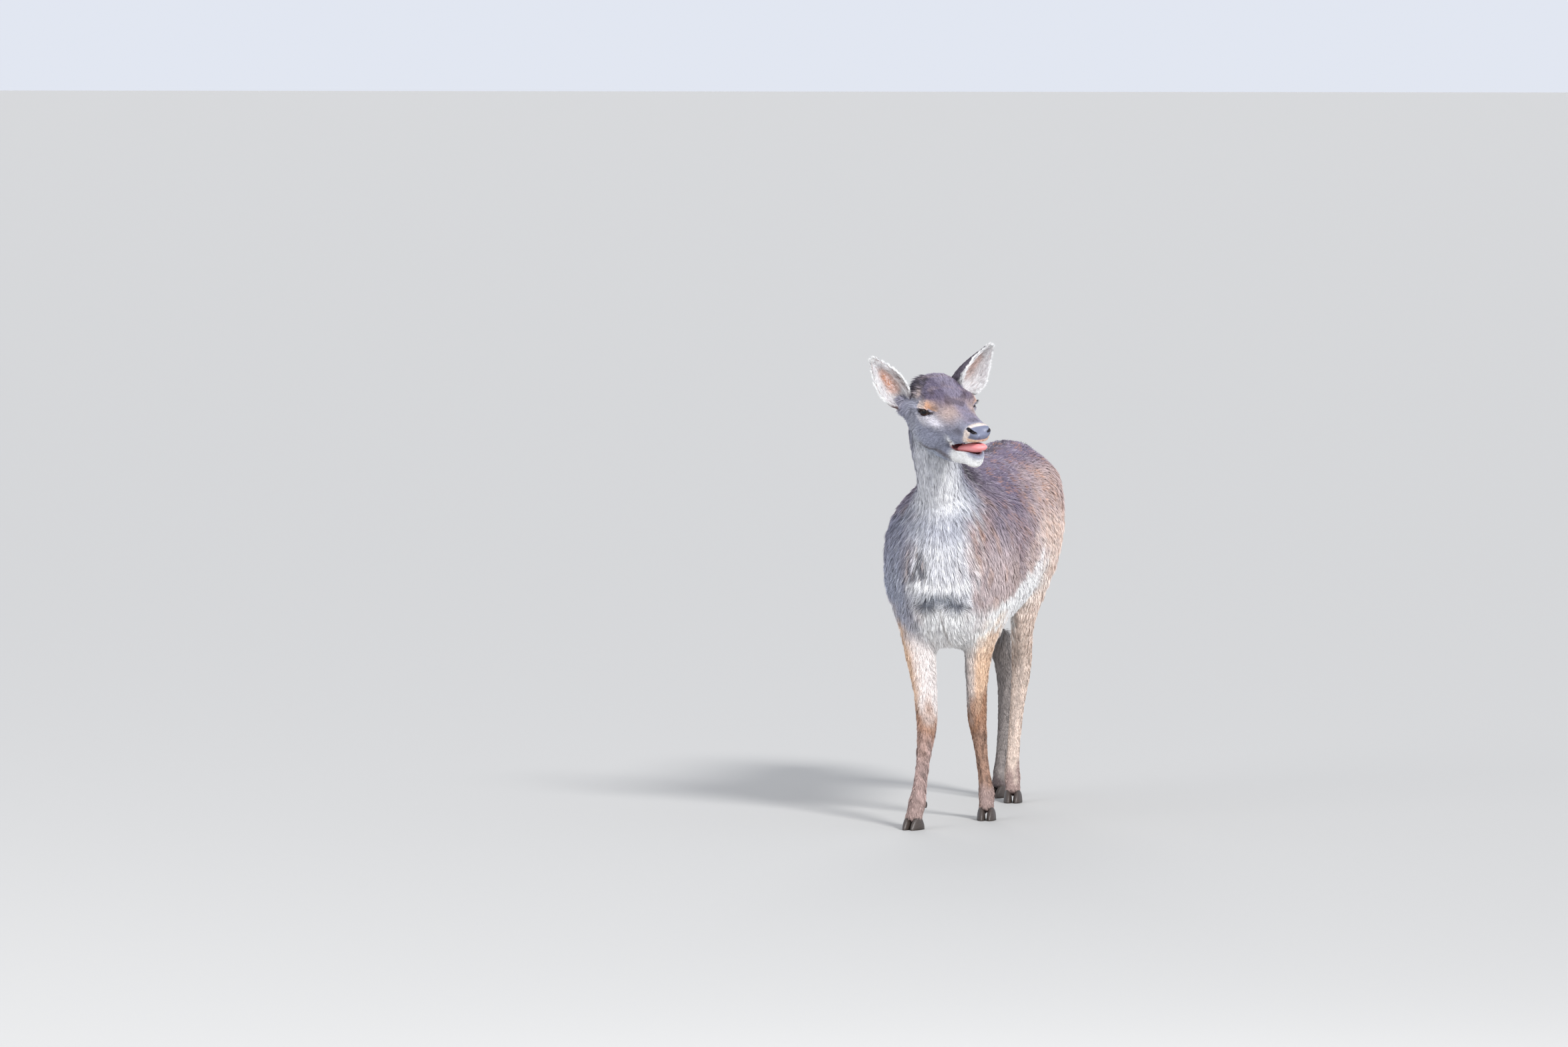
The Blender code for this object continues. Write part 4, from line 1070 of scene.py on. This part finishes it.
def coat_make(p, weights):
    """Length, width, lift and density (tufts in a square metre) of the coat at points in the deer's frame."""
    x, y, z = millimetres(p)
    h = moved(p, TO_HEAD)
    hang = smooth(645, 600, z)  # the tail's hair is short at its root
    leg = [np.interp(z, *values) for values in LEG_COAT]
    makes = {
        "trunk": (18.5, 1.0, 5.2, 4.6e5),
        "neck": (17.0, 0.78, 3.8, 1.1e6),
        "tail": (14 + 24 * hang, 1.3, 3 + 3 * hang, 6.0e5),
        "head": [np.interp(h[:, 1] * 1000, *values) for values in HEAD_COAT],
        **{name: leg for name in LEGS},
    }
    length, width, height, density = (
        sum(make[k] * weights[part] for part, make in makes.items()) for k in range(4))
    chest = smooth(0, -50, y) * smooth(560, 500, z) * (weights["head"] < 0.3)
    whorl = np.maximum.reduce([smooth(24, 8, np.hypot(x - wx, z - wz)) for wx, wz in WHORLS])
    tuft = dark_tuft(h)
    length = (length + 4 * chest) * (1 - 0.45 * whorl * smooth(0, -40, y)) + 7 * tuft
    return length / 1000, width / 1000, (height + 5 * tuft + chest) / 1000, density


def scattered(points, faces, density):
    """Random roots on triangles: which triangle each is on, its place, and the skin's normal there."""
    a, b, c = (points[faces[:, n]] for n in range(3))
    across = np.cross(b - a, c - a)
    count = np.floor(norm(across, axis=1) / 2 * density + RANDOM.random(len(faces))).astype(int)
    chosen = np.repeat(np.arange(len(faces)), count)
    u, v = RANDOM.random(len(chosen)), RANDOM.random(len(chosen))
    flip = u + v > 1
    u[flip], v[flip] = 1 - u[flip], 1 - v[flip]
    share = columns(1 - u - v, u, v)
    corners = faces.T.ravel()
    normals = columns(*(np.bincount(corners, np.tile(across[:, n], 3), len(points)) for n in range(3)))
    roots, normals = (np.einsum("ij,ijk->ik", share, rows[faces[chosen]]) for rows in (points, unit(normals)))
    return chosen, roots, unit(normals)


def gathered(roots, size):
    """A number for each root that it shares with the few roots of the same lock."""
    jitter = columns(*(noise(roots, size * 5, 40 + n) for n in range(3))) * size * 0.8
    cell = np.floor((roots + jitter) / size).astype(np.int64)
    return np.unique(cell @ np.array((73856093, 19349663, 83492791)), return_inverse=True)[1]


def along_skin(v, normals):
    return v - normals * dots(v, normals)[:, None]


HAIR_ROOT = 0.0004  # how deep a tuft starts in the skin


def tufts(name, roots, normals, ways, length, width, height, colour, unwrap,
          lock_size, curl=0.07, spread=0.09):
    """One coat piece: a tapered blade at each root, laid along its way, its tip drawn to its lock's."""
    count = len(roots)
    ways = unit(along_skin(ways, normals))
    side = np.cross(normals, ways)
    lock = gathered(roots, lock_size)
    centre = columns(*(np.bincount(lock, roots[:, n]) / np.bincount(lock) for n in range(3)))[lock]
    locks = lock.max() + 1
    turn = RANDOM.normal(0, curl, locks)[lock] + RANDOM.normal(0, curl, count)
    ways = unit(ways * np.cos(turn)[:, None] + side * np.sin(turn)[:, None])
    side = np.cross(normals, ways)
    length = (length * RANDOM.uniform(0.7, 1.15, count))[:, None]
    lift = height * RANDOM.uniform(0.55, 1.15, count)
    lift = normals * (lift * (1 + 0.25 * RANDOM.normal(size=locks)[lock]).clip(0.6, 1.5))[:, None]
    draw = along_skin((centre - roots) * 0.38, normals)
    roll = RANDOM.normal(0, 0.45, count)[:, None]
    half = (width * RANDOM.uniform(0.7, 1.3, count) / 2)[:, None]
    edge = (side * np.cos(roll) + normals * np.sin(roll)) * half
    start, tip = roots - normals * HAIR_ROOT, roots + ways * length + lift + draw
    middle = roots + ways * length * 0.42 + lift * 0.72 + draw * 0.5
    points = np.stack([start, middle - edge, middle + edge, tip], 1)
    faces = (np.array(((0, 1, 2), (1, 3, 2)))[None] + np.arange(count)[:, None, None] * 4).reshape(-1, 3)
    obj = mesh_object(name, points.reshape(-1, 3), faces)
    tone = (1 + spread * RANDOM.normal(size=locks)[lock]) * RANDOM.uniform(0.84, 1.16, count)
    paint(obj, np.repeat(np.clip(colour * tone.clip(0.5, 1.5)[:, None], 0.003, 0.93), 4, axis=0))
    level(obj, "along", np.tile((0.0, 0.45, 0.45, 1.0), count))
    patch = np.array(((0.0, -0.0015), (-0.0015, 0.0), (0.0015, 0.0), (0.0, 0.0015)))
    places = (unwrap[:, None] * 0.99 + 0.005 + patch).reshape(-1, 2)
    layer = obj.data.uv_layers.new(name="OFBake")
    layer.data.foreach_set("uv", places[faces.ravel()].astype(np.float32).ravel())
    obj.data.materials.append(COAT)
    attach(obj, "root")


def paint(obj, colour):
    layer = obj.data.color_attributes.new("coat", "FLOAT_COLOR", "POINT")
    rgba = np.concatenate([colour, np.ones((len(colour), 1))], 1)
    layer.data.foreach_set("color", rgba.astype(np.float32).ravel())


def level(obj, name, values):
    layer = obj.data.attributes.new(name, "FLOAT", "POINT")
    layer.data.foreach_set("value", values.astype(np.float32))


def turned_about(p, line, column):
    """Unwrap round a line, given as rows sorted along column: turn and place along the line, both 0 to 1."""
    place = p[:, column]
    centre = columns(*(np.interp(place, line[:, column], line[:, n]) for n in range(3)))
    first, second = np.delete(p - centre, column, 1).T
    low, high = line[0, column] - 0.06, line[-1, column] + 0.06
    turn = np.arctan2(second, first) / (2 * math.pi) + 0.5
    return columns(turn, np.clip((place - low) / (high - low), 0, 1))


def unwrapped(part, p):
    if part == "trunk":
        return turned_about(p, TRUNK_LINE, 1)
    if part == "head":
        return turned_about(moved(p, TO_HEAD), np.array(((0, -0.092, -0.02), (0, 0.1235, -0.02))), 1)
    return turned_about(p, rising({"neck": NECK_ROWS, "tail": TAIL_ROWS, **LEG_ROWS}[part]), 2)


LOCKS = {  # size of a lock, how much its hairs stray, how much its tone varies
    "trunk": (0.006, 0.06, 0.08),
    "neck": (0.005, 0.035, 0.045),
    "head": (0.004, 0.05, 0.07),
    "tail": (0.006, 0.05, 0.06),
    **{leg: (0.005, 0.05, 0.07) for leg in LEGS},
}


def fur(points, faces):
    """The coat over the skin, one piece for each part and side. Flecks and streaks vary the markings."""
    middle = points[faces].mean(1)
    *_, density = coat_make(middle, part_weights(middle))
    _, roots, normals = scattered(points, faces, density * (1 - bare_skin(middle)[0] > 0.6))
    weights = part_weights(roots)
    length, width, height, _ = coat_make(roots, weights)
    ways = unit(flow(roots, weights))
    stray = columns(*(noise(roots, 0.045, 10 + n) for n in range(3)))
    ways += (0.08 - 0.05 * weights["neck"])[:, None] * stray
    colour = flecked(roots, weights, markings(roots + ways * length[:, None] * 0.3, weights))
    owner = np.argmax(list(weights.values()), axis=0)
    for number, part in enumerate(weights):
        for name, here in shares_of(part, roots, owner == number):
            hairs = (rows[here] for rows in (roots, normals, ways, length, width, height, colour))
            tufts("coat_" + name, *hairs, unwrapped(part, roots[here]), *LOCKS[part])


def shares_of(part, roots, mine):
    """The pieces of a part's coat: their names and which roots are theirs."""
    if part not in ("trunk", "head"):
        return [(part, mine)]
    left = (moved(roots, TO_HEAD) if part == "head" else roots)[:, 0] > 0
    rear = roots[:, 1] > 0.25
    ends = [("_front", mine & ~rear), ("_rear", mine & rear)] if part == "trunk" else [("", mine)]
    return [(part + end + "_" + word, here & (left == (side > 0)))
            for end, here in ends for side, word in SIDES]


def flecked(p, weights, colour):
    """Orange flecks on the back and flanks, dark and pale streaks on the neck and chest."""
    _, y, z = millimetres(p)
    body = weights["trunk"] + sum(weights[leg] for leg in LEGS) * smooth(350, 450, z)
    grain = RANDOM.random(len(p))
    patches = noise(p, 0.016, 21) * 0.5 + noise(p, 0.05, 22) * 0.5
    streaks = noise(p * (1, 1, 0.22), 0.011, 23)
    front = weights["neck"] + weights["trunk"] * smooth(20, -30, y)
    return painted(
        colour,
        (ORANGE, body * (patches > 0.34) * (grain > 0.55) * smooth(460, 580, z) * smooth(0, 100, y) * 0.42),
        ((186, 176, 184), body * (patches < -0.3) * (grain > 0.55) * smooth(0, 80, y) * 0.45),
        ((122, 120, 132), front * (streaks > 0.32) * (grain > 0.45) * 0.4),
        (WHITE, front * (streaks < -0.45) * (grain > 0.5) * 0.3),
    )


def ear_fur(side, word, points, faces, inside):
    """Short hair on the back of an ear, a white fringe on its rim, and long white tufts inside."""
    place = np.array(ear_frame(side).inverted())
    at_face = inside[faces].mean(1) > 0.5
    middle = moved(points[faces].mean(1), place)
    density = np.where(at_face, 1.5e6, 2.0e6) * (middle[:, 2] > -0.004)
    chosen, roots, normals = scattered(points, faces, density)
    inner = at_face[chosen]
    local = moved(roots, place)
    along, across = np.clip(local[:, 2] / EAR_LENGTH, 0, 1), local[:, 0]
    _, centre, closing = ear_section(side, along)
    edge = np.clip(np.abs(np.arctan2(across, centre - local[:, 1])) / closing, 0, 1.2)
    place_across = edge * np.sign(across)
    rim = np.maximum(smooth(0.84, 0.96, edge) * smooth(0.05, 0.2, along), smooth(0.86, 0.97, along))
    axes = place[:3, :3]
    outward = np.sign(across)[:, None] * axes[0]
    ways = axes[2] + outward * ((0.2 + 0.08 * rim) * np.where(inner, 0.6, 1))[:, None]
    bare = inner * bump(place_across * side, 0.05, 0.42) * smooth(0.1, 0.25, along) * smooth(0.8, 0.62, along)
    long = inner * (1 - bare) * (RANDOM.random(len(roots)) < 0.55) * smooth(1.0, 0.86, edge)
    cross = -outward + axes[2] * 0.6 + axes[1] * 0.3
    ways = np.where((long * (edge > 0.45))[:, None] > 0.3, cross * 0.8 + ways * 0.4, ways)
    length = np.where(inner, 0.006, 0.0065) + 0.001 * rim
    length += 0.013 * long * smooth(0.95, 0.5, along) * (edge > 0.3)
    width = np.where(inner, 0.0006, 0.0007)
    height = np.where(inner, 0.0012, 0.0014) + 0.0016 * long + 0.0002 * rim
    right, outer = side < 0, 1 - inner
    forehead = outer * (side * across < 0) * bump(edge, 0.8, 0.2)  # the edge nearer the forehead
    colour = painted(
        (106, 98, 110),
        ((240, 236, 238), inner),
        ((196, 158, 140), bare * 0.8),
        ((206, 128, 66), right * bare * bump(along, 0.46, 0.2) * bump(across, 0.003, 0.009) * 0.9),
        ((112, 84, 74), right * inner * bump(place_across, -0.82, 0.14) * bump(along, 0.35, 0.22) * 0.7),
        ((74, 68, 74), outer * smooth(0.4, 0.9, along) * smooth(0.9, 0.6, edge) * 0.6),
        ((150, 112, 86), forehead * smooth(0.3, 0.1, along) * 0.7),
        (WHITE, rim),
    )
    keep = (RANDOM.random(len(roots)) > bare * 0.75) & (RANDOM.random(len(roots)) > 0.1 * inner)
    turn = np.arctan2(across, -local[:, 1]) / (2 * math.pi) * 0.9 + 0.5
    unwrap = columns(turn * 0.48 + np.where(inner, 0.5, 0.0), along * 0.96 + 0.02)
    hairs = (rows[keep] for rows in (roots, normals, ways, length, width, height, colour, unwrap))
    tufts("coat_ear_" + word, *hairs, 0.004, 0.16)


# ---------------------------------------- materials
def material(name, **constants):
    """A Principled material with constant values on its sockets; returns it with its node tree."""
    made = bpy.data.materials.new(name)
    made.use_nodes = True
    for socket, value in constants.items():
        made.node_tree.nodes["Principled BSDF"].inputs[socket.replace("_", " ")].default_value = value
    return made, made.node_tree


def node(tree, kind, *links, **settings):
    """A new node, with its properties set, and its inputs linked or set by (socket, value) pairs."""
    made = tree.nodes.new("ShaderNode" + kind)
    for key, value in settings.items():
        setattr(made, key, value)
    for socket, value in links:
        if isinstance(value, bpy.types.NodeSocket):
            tree.links.new(value, made.inputs[socket])
        else:
            made.inputs[socket].default_value = value
    return made


def wired(tree, **sockets):
    """The Principled node's inputs linked to the outputs given."""
    for socket, output in sockets.items():
        tree.links.new(output, tree.nodes["Principled BSDF"].inputs[socket.replace("_", " ")])


def bumped(tree, height, strength, distance):
    raised = node(tree, "Bump", ("Height", height), ("Strength", strength), ("Distance", distance))
    return raised.outputs["Normal"]


def coat_material():
    """Hair darker at its root, paler towards its tip, with a soft sheen."""
    made, tree = material("Coat", Roughness=0.62, Specular_IOR_Level=0.25)
    colour = node(tree, "Attribute", attribute_name="coat").outputs["Color"]
    along = node(tree, "Attribute", attribute_name="along").outputs["Fac"]
    shading = node(tree, "MapRange", ("Value", along), ("To Min", 0.7), ("To Max", 1.06)).outputs["Result"]
    wired(tree, Base_Color=node(tree, "VectorMath", (0, colour), (3, shading), operation="SCALE").outputs[0])
    return made


def skin_material():
    """The skin: the coat's markings under the tufts, moist bare skin on the nose, lids, lips and mouth."""
    made, tree = material("Skin", Roughness=0.8, Specular_IOR_Level=0.3)
    colour = node(tree, "Attribute", attribute_name="coat").outputs["Color"]
    wet = node(tree, "Attribute", attribute_name="wet").outputs["Fac"]
    rough = node(tree, "MapRange", ("Value", wet), ("To Min", 0.8), ("To Max", 0.32)).outputs["Result"]
    where = node(tree, "TexCoord").outputs["Object"]
    grain = node(tree, "TexVoronoi", ("Vector", where), ("Scale", 700.0)).outputs["Distance"]
    hair = node(tree, "TexNoise", ("Vector", where), ("Scale", 900.0)).outputs["Fac"]
    height = node(tree, "Mix", (0, wet), (2, hair), (3, grain)).outputs[0]
    wired(tree, Base_Color=colour, Roughness=rough, Normal=bumped(tree, height, 0.35, 0.0005))
    return made


def tongue_material():
    pink = (*linear((224, 140, 142)), 1)
    made, tree = material("Tongue", Base_Color=pink, Roughness=0.38, Subsurface_Weight=0.15)
    where = node(tree, "TexCoord").outputs["Object"]
    bumps = node(tree, "TexVoronoi", ("Vector", where), ("Scale", 900.0)).outputs["Distance"]
    wired(tree, Normal=bumped(tree, bumps, 0.4, 0.0004))
    return made


def horn_material():
    """Dark horn with faint growth rings."""
    made, tree = material("Horn", Roughness=0.42)
    where = node(tree, "TexCoord").outputs["Object"]
    sizes = ("Scale", 150.0), ("Distortion", 3.0)
    waves = node(tree, "TexWave", ("Vector", where), *sizes, bands_direction="Z")
    rings = waves.outputs["Fac"]
    dark, pale = ((*linear(colour), 1) for colour in ((44, 38, 36), (70, 60, 54)))
    tint = node(tree, "Mix", (0, rings), (6, dark), (7, pale), data_type="RGBA").outputs[2]
    wired(tree, Base_Color=tint, Normal=bumped(tree, rings, 0.3, 0.0005))
    return made


def eye_material(word):
    made, tree = material("Eye_" + word, Roughness=0.05, IOR=1.36)
    wired(tree, Base_Color=node(tree, "Attribute", attribute_name="coat").outputs["Color"])
    return made


COAT = coat_material()


def finished(obj, look, slot, *nodes):
    """The piece in its material, on the one body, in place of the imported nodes."""
    obj.data.materials.append(look)
    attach(obj, "root")
    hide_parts(*nodes)


# ---------------------------------------- the pieces
def skin_and_coat():
    points, faces = skin_surface()
    fur(points, faces)
    share, bare = bare_skin(points)
    groups = [(points, faces, mixed(markings(points, part_weights(points)), bare, share), share)]
    count = len(points)
    for side, word in SIDES:
        more, ring, inside = ear_surface(side)
        ear_fur(side, word, more, ring, inside.astype(float))
        tint = painted((104, 96, 106), ((214, 190, 184), inside))
        groups.append((more, ring + count, tint, np.zeros(len(more))))
        count += len(more)
    points, faces, colour, wet = (np.concatenate(group) for group in zip(*groups))
    skin = mesh_object("skin", points, faces)
    paint(skin, colour)
    level(skin, "wet", wet)
    limbs = [part + leg for part in ("upper_", "lower_") for leg in LEGS]
    flesh = ["trunk", "neck", "head", "lower_jaw", "tail", "ear_left", "ear_right"]
    finished(skin, skin_material(), "grey_coat", *flesh, *limbs)


def lashes():
    """Dark lashes along the upper lids."""
    for side, word in SIDES:
        mirror = np.array((side, 1, 1))
        gaze, fore, up = GAZE * mirror, EYE_FORE * mirror, EYE_UP * mirror
        across = RANDOM.uniform(-0.92, 0.8, 150)
        a, b = across * OPENING_LENGTH, OPENING_UP * (1 - across**2) + 0.0004
        out = np.sqrt((EYE_RADIUS + 0.002) ** 2 - a**2 - b**2)
        roots = moved(columns(a, b, out) @ np.stack([fore, up, gaze]) + EYE_CENTRE * mirror, HEAD)
        ways = gaze * 0.9 + up * 0.35 - fore * 0.35 + fore * across[:, None] * 0.25
        one = np.ones(len(roots))
        normals, ways = one[:, None] * (up @ HEAD_AXES.T), unit(ways @ HEAD_AXES.T)
        colour, unwrap = one[:, None] * linear((22, 18, 20)), columns(across * 0.4 + 0.5, 0.5)
        sizes = one * 0.0075, one * 0.00042, one * 0.0016
        tufts("lashes_" + word, roots, normals, ways, *sizes, colour, unwrap, 0.003)


def ball(maker, **settings):
    """Points and triangles of a unit ball."""
    made = bmesh.new()
    maker(made, radius=1.0, **settings)
    points = np.array([v.co for v in made.verts])
    bmesh.ops.triangulate(made, faces=made.faces)
    faces = [[v.index for v in f.verts] for f in made.faces]
    faces = np.array(sorted(min(f, f[1:] + f[:1], f[2:] + f[:2]) for f in faces))  # one order for every run
    made.free()
    return points, faces


def eyes_made():
    """Dark glossy eyes, each with a clear bulge over a brown iris and a long level pupil."""
    for side, word in SIDES:
        points, faces = ball(bmesh.ops.create_icosphere, subdivisions=5)
        mirror = np.array((side, 1, 1))
        gaze, fore, up = GAZE * mirror, EYE_FORE * mirror, EYE_UP * mirror
        ahead = points @ gaze
        bulge = 0.0006 * smooth(36, 20, np.degrees(np.arccos(np.clip(ahead, -1, 1))))
        a, b = points @ fore * 2, points @ up * 2
        iris = smooth(1.04, 0.96, np.hypot(a, b)) * (ahead > 0)
        pupil = smooth(1.08, 0.92, np.hypot(a / 0.8, b / 0.42)) * (ahead > 0)
        fibres = 1 + 0.2 * np.sin(np.arctan2(b, a) * 40)
        brown = linear((52, 33, 22)) * fibres[:, None]
        where = moved(points * (EYE_RADIUS + bulge)[:, None] + EYE_CENTRE * mirror, HEAD)
        obj = mesh_object("eye_" + word + "_ball", where, faces)
        paint(obj, painted((58, 46, 42), (brown, iris), ((7, 7, 12), pupil)))
        finished(obj, eye_material(word), "eye", "eye_" + word)


def tongue_made():
    """The tongue, with its groove, risen in the open mouth."""
    turn = np.linspace(0, 2 * math.pi, 40, endpoint=False)
    across, rise = np.cos(turn), np.sin(turn)
    fore, height, half, thick = resampled(TONGUE, 8).T[:, :, None]
    groove = -0.22 * bump(across, 0, 0.22) * (rise > 0) * np.minimum(1.0, half / 0.01)
    points, faces = closed_tube(columns(half * across, fore, height + thick * (rise + groove)))
    finished(mesh_object("tongue_surface", moved(points, HEAD), faces), tongue_material(), "tongue", "tongue")


# ---------------------------------------- claws
CLAW_SHAPE = [  # share of its length, of its height, of its half width
    (0.0, 0.6, 0.72),
    (0.18, 0.92, 0.95),
    (0.45, 1.0, 1.0),
    (0.72, 0.72, 0.86),
    (0.9, 0.42, 0.55),
    (1.0, 0.16, 0.18),
]
CLAW_LENGTH, CLAW_HEIGHT, CLAW_HALF_WIDTH = 0.041, 0.026, 0.0082
CLAW_CENTRE, CLAW_CLEFT, CLAW_FORWARD = 0.42, 0.0012, 0.004
CLAW_SPLAY = math.radians(5)
DEWCLAW_RADIUS, DEWCLAW_TAPER, DEWCLAW_HALF_LENGTH = 0.0048, 0.0016, 0.008


def claw(leg, side):
    """Half of a cloven hoof: a flat sole, and a top cut along the coronet."""
    point, toe, down = coronet(leg)
    turn = np.linspace(0, math.pi, 19)
    outline = columns(np.cos(turn) * (1 - 0.05 * np.sin(turn)), np.sin(turn) ** 0.8)
    outline = np.vstack([outline, columns(np.linspace(-0.85, 0.85, 8), 0.0)])
    share, tall, wide = resampled(CLAW_SHAPE, 6).T[:, :, None]
    across, rise = outline.T
    points, faces = closed_tube(columns(
        across * CLAW_HALF_WIDTH * wide, (share - CLAW_CENTRE) * CLAW_LENGTH, rise * CLAW_HEIGHT * tall))
    heading = math.atan2(toe[0], -toe[1]) + math.pi + side * CLAW_SPLAY
    place = Matrix.Translation((*(point + toe * CLAW_FORWARD)[:2], 0)) @ Matrix.Rotation(heading, 4, "Z")
    points = moved(points, place @ Matrix.Translation((side * (CLAW_HALF_WIDTH + CLAW_CLEFT), 0, 0)))
    over = np.maximum(-(points - point) @ down - 0.001, 0)
    return points + over[:, None] * down, faces


def dewclaw(leg, side):
    """One of the two small claws behind a fetlock."""
    _, toe, _ = coronet(leg)
    across = np.array((-toe[1], toe[0], 0)) * side
    lean = Vector(unit(-toe * 0.55 + across * 0.15 + (0, 0, -1)))
    centre = LEGS[leg][-3, :3] - toe * 0.015 + across * 0.0085 - (0, 0, 0.006)
    points, faces = ball(bmesh.ops.create_uvsphere, u_segments=20, v_segments=12)
    points *= columns(*[DEWCLAW_RADIUS - DEWCLAW_TAPER * points[:, 2]] * 2, DEWCLAW_HALF_LENGTH)
    turned = lean.to_track_quat("Z", "Y").to_matrix().to_4x4()
    return moved(points, Matrix.Translation(centre) @ turned), faces


def claws_made():
    horn = horn_material()
    for leg in LEGS:
        for side, word in SIDES:
            for kind, shape in (("claw", claw), ("dewclaw", dewclaw)):
                name = f"{kind}_{leg}_{word}"
                finished(mesh_object(name + "_horn", *shape(leg, side)), horn, "horn", name)


# ---------------------------------------- studio
CAMERA = Vector((3.853, -14.305, 1.427))
AIM = Vector((-0.2789, 0.9585, -0.0584))
LIGHTS = (  # name, kind, place, angle or size, power
    ("Key", "SUN", (3.8, -3.4, 4.2), math.radians(14), 3.7),
    ("Fill", "AREA", (-3.5, -5.5, 2.4), 4.0, 150.0),
    ("Low", "AREA", (1.6, -4.6, 0.6), 2.4, 45.0),
    ("Back", "SUN", (-1.5, 5.0, 3.0), math.radians(28), 1.0),
)


def studio():
    scene = bpy.context.scene
    camera = bpy.data.objects.new("Camera", bpy.data.cameras.new("Camera"))
    camera.data.lens, camera.data.sensor_width, camera.data.clip_end = 183.17, 36.0, 500.0
    camera.location = CAMERA - Vector(ORIGIN)
    camera.rotation_euler = AIM.to_track_quat("-Z", "Y").to_euler()
    scene.collection.objects.link(camera)
    scene.camera = camera

    bpy.ops.mesh.primitive_plane_add(size=600.0, location=(0, 0, 0))
    floor = bpy.context.object
    floor.name = "Floor"
    pale = (*linear((168, 167, 165)), 1)
    plain, _ = material("Floor", Base_Color=pale, Roughness=0.9, Specular_IOR_Level=0.1)
    floor.data.materials.append(plain)

    for name, kind, place, size, power in LIGHTS:
        light = bpy.data.lights.new(name, kind)
        light.energy = power
        setattr(light, "angle" if kind == "SUN" else "size", size)
        obj = bpy.data.objects.new(name, light)
        obj.location = place
        obj.rotation_euler = (Vector((0, 0, 0.5)) - Vector(place)).to_track_quat("-Z", "Y").to_euler()
        scene.collection.objects.link(obj)
    scene.world = bpy.data.worlds.new("Studio")
    scene.world.use_nodes = True
    background = scene.world.node_tree.nodes["Background"].inputs
    background["Color"].default_value = (0.8, 0.84, 0.93, 1)
    background["Strength"].default_value = 0.95
    scene.view_settings.view_transform = "Standard"


skin_and_coat()
lashes()
eyes_made()
tongue_made()
claws_made()
studio()
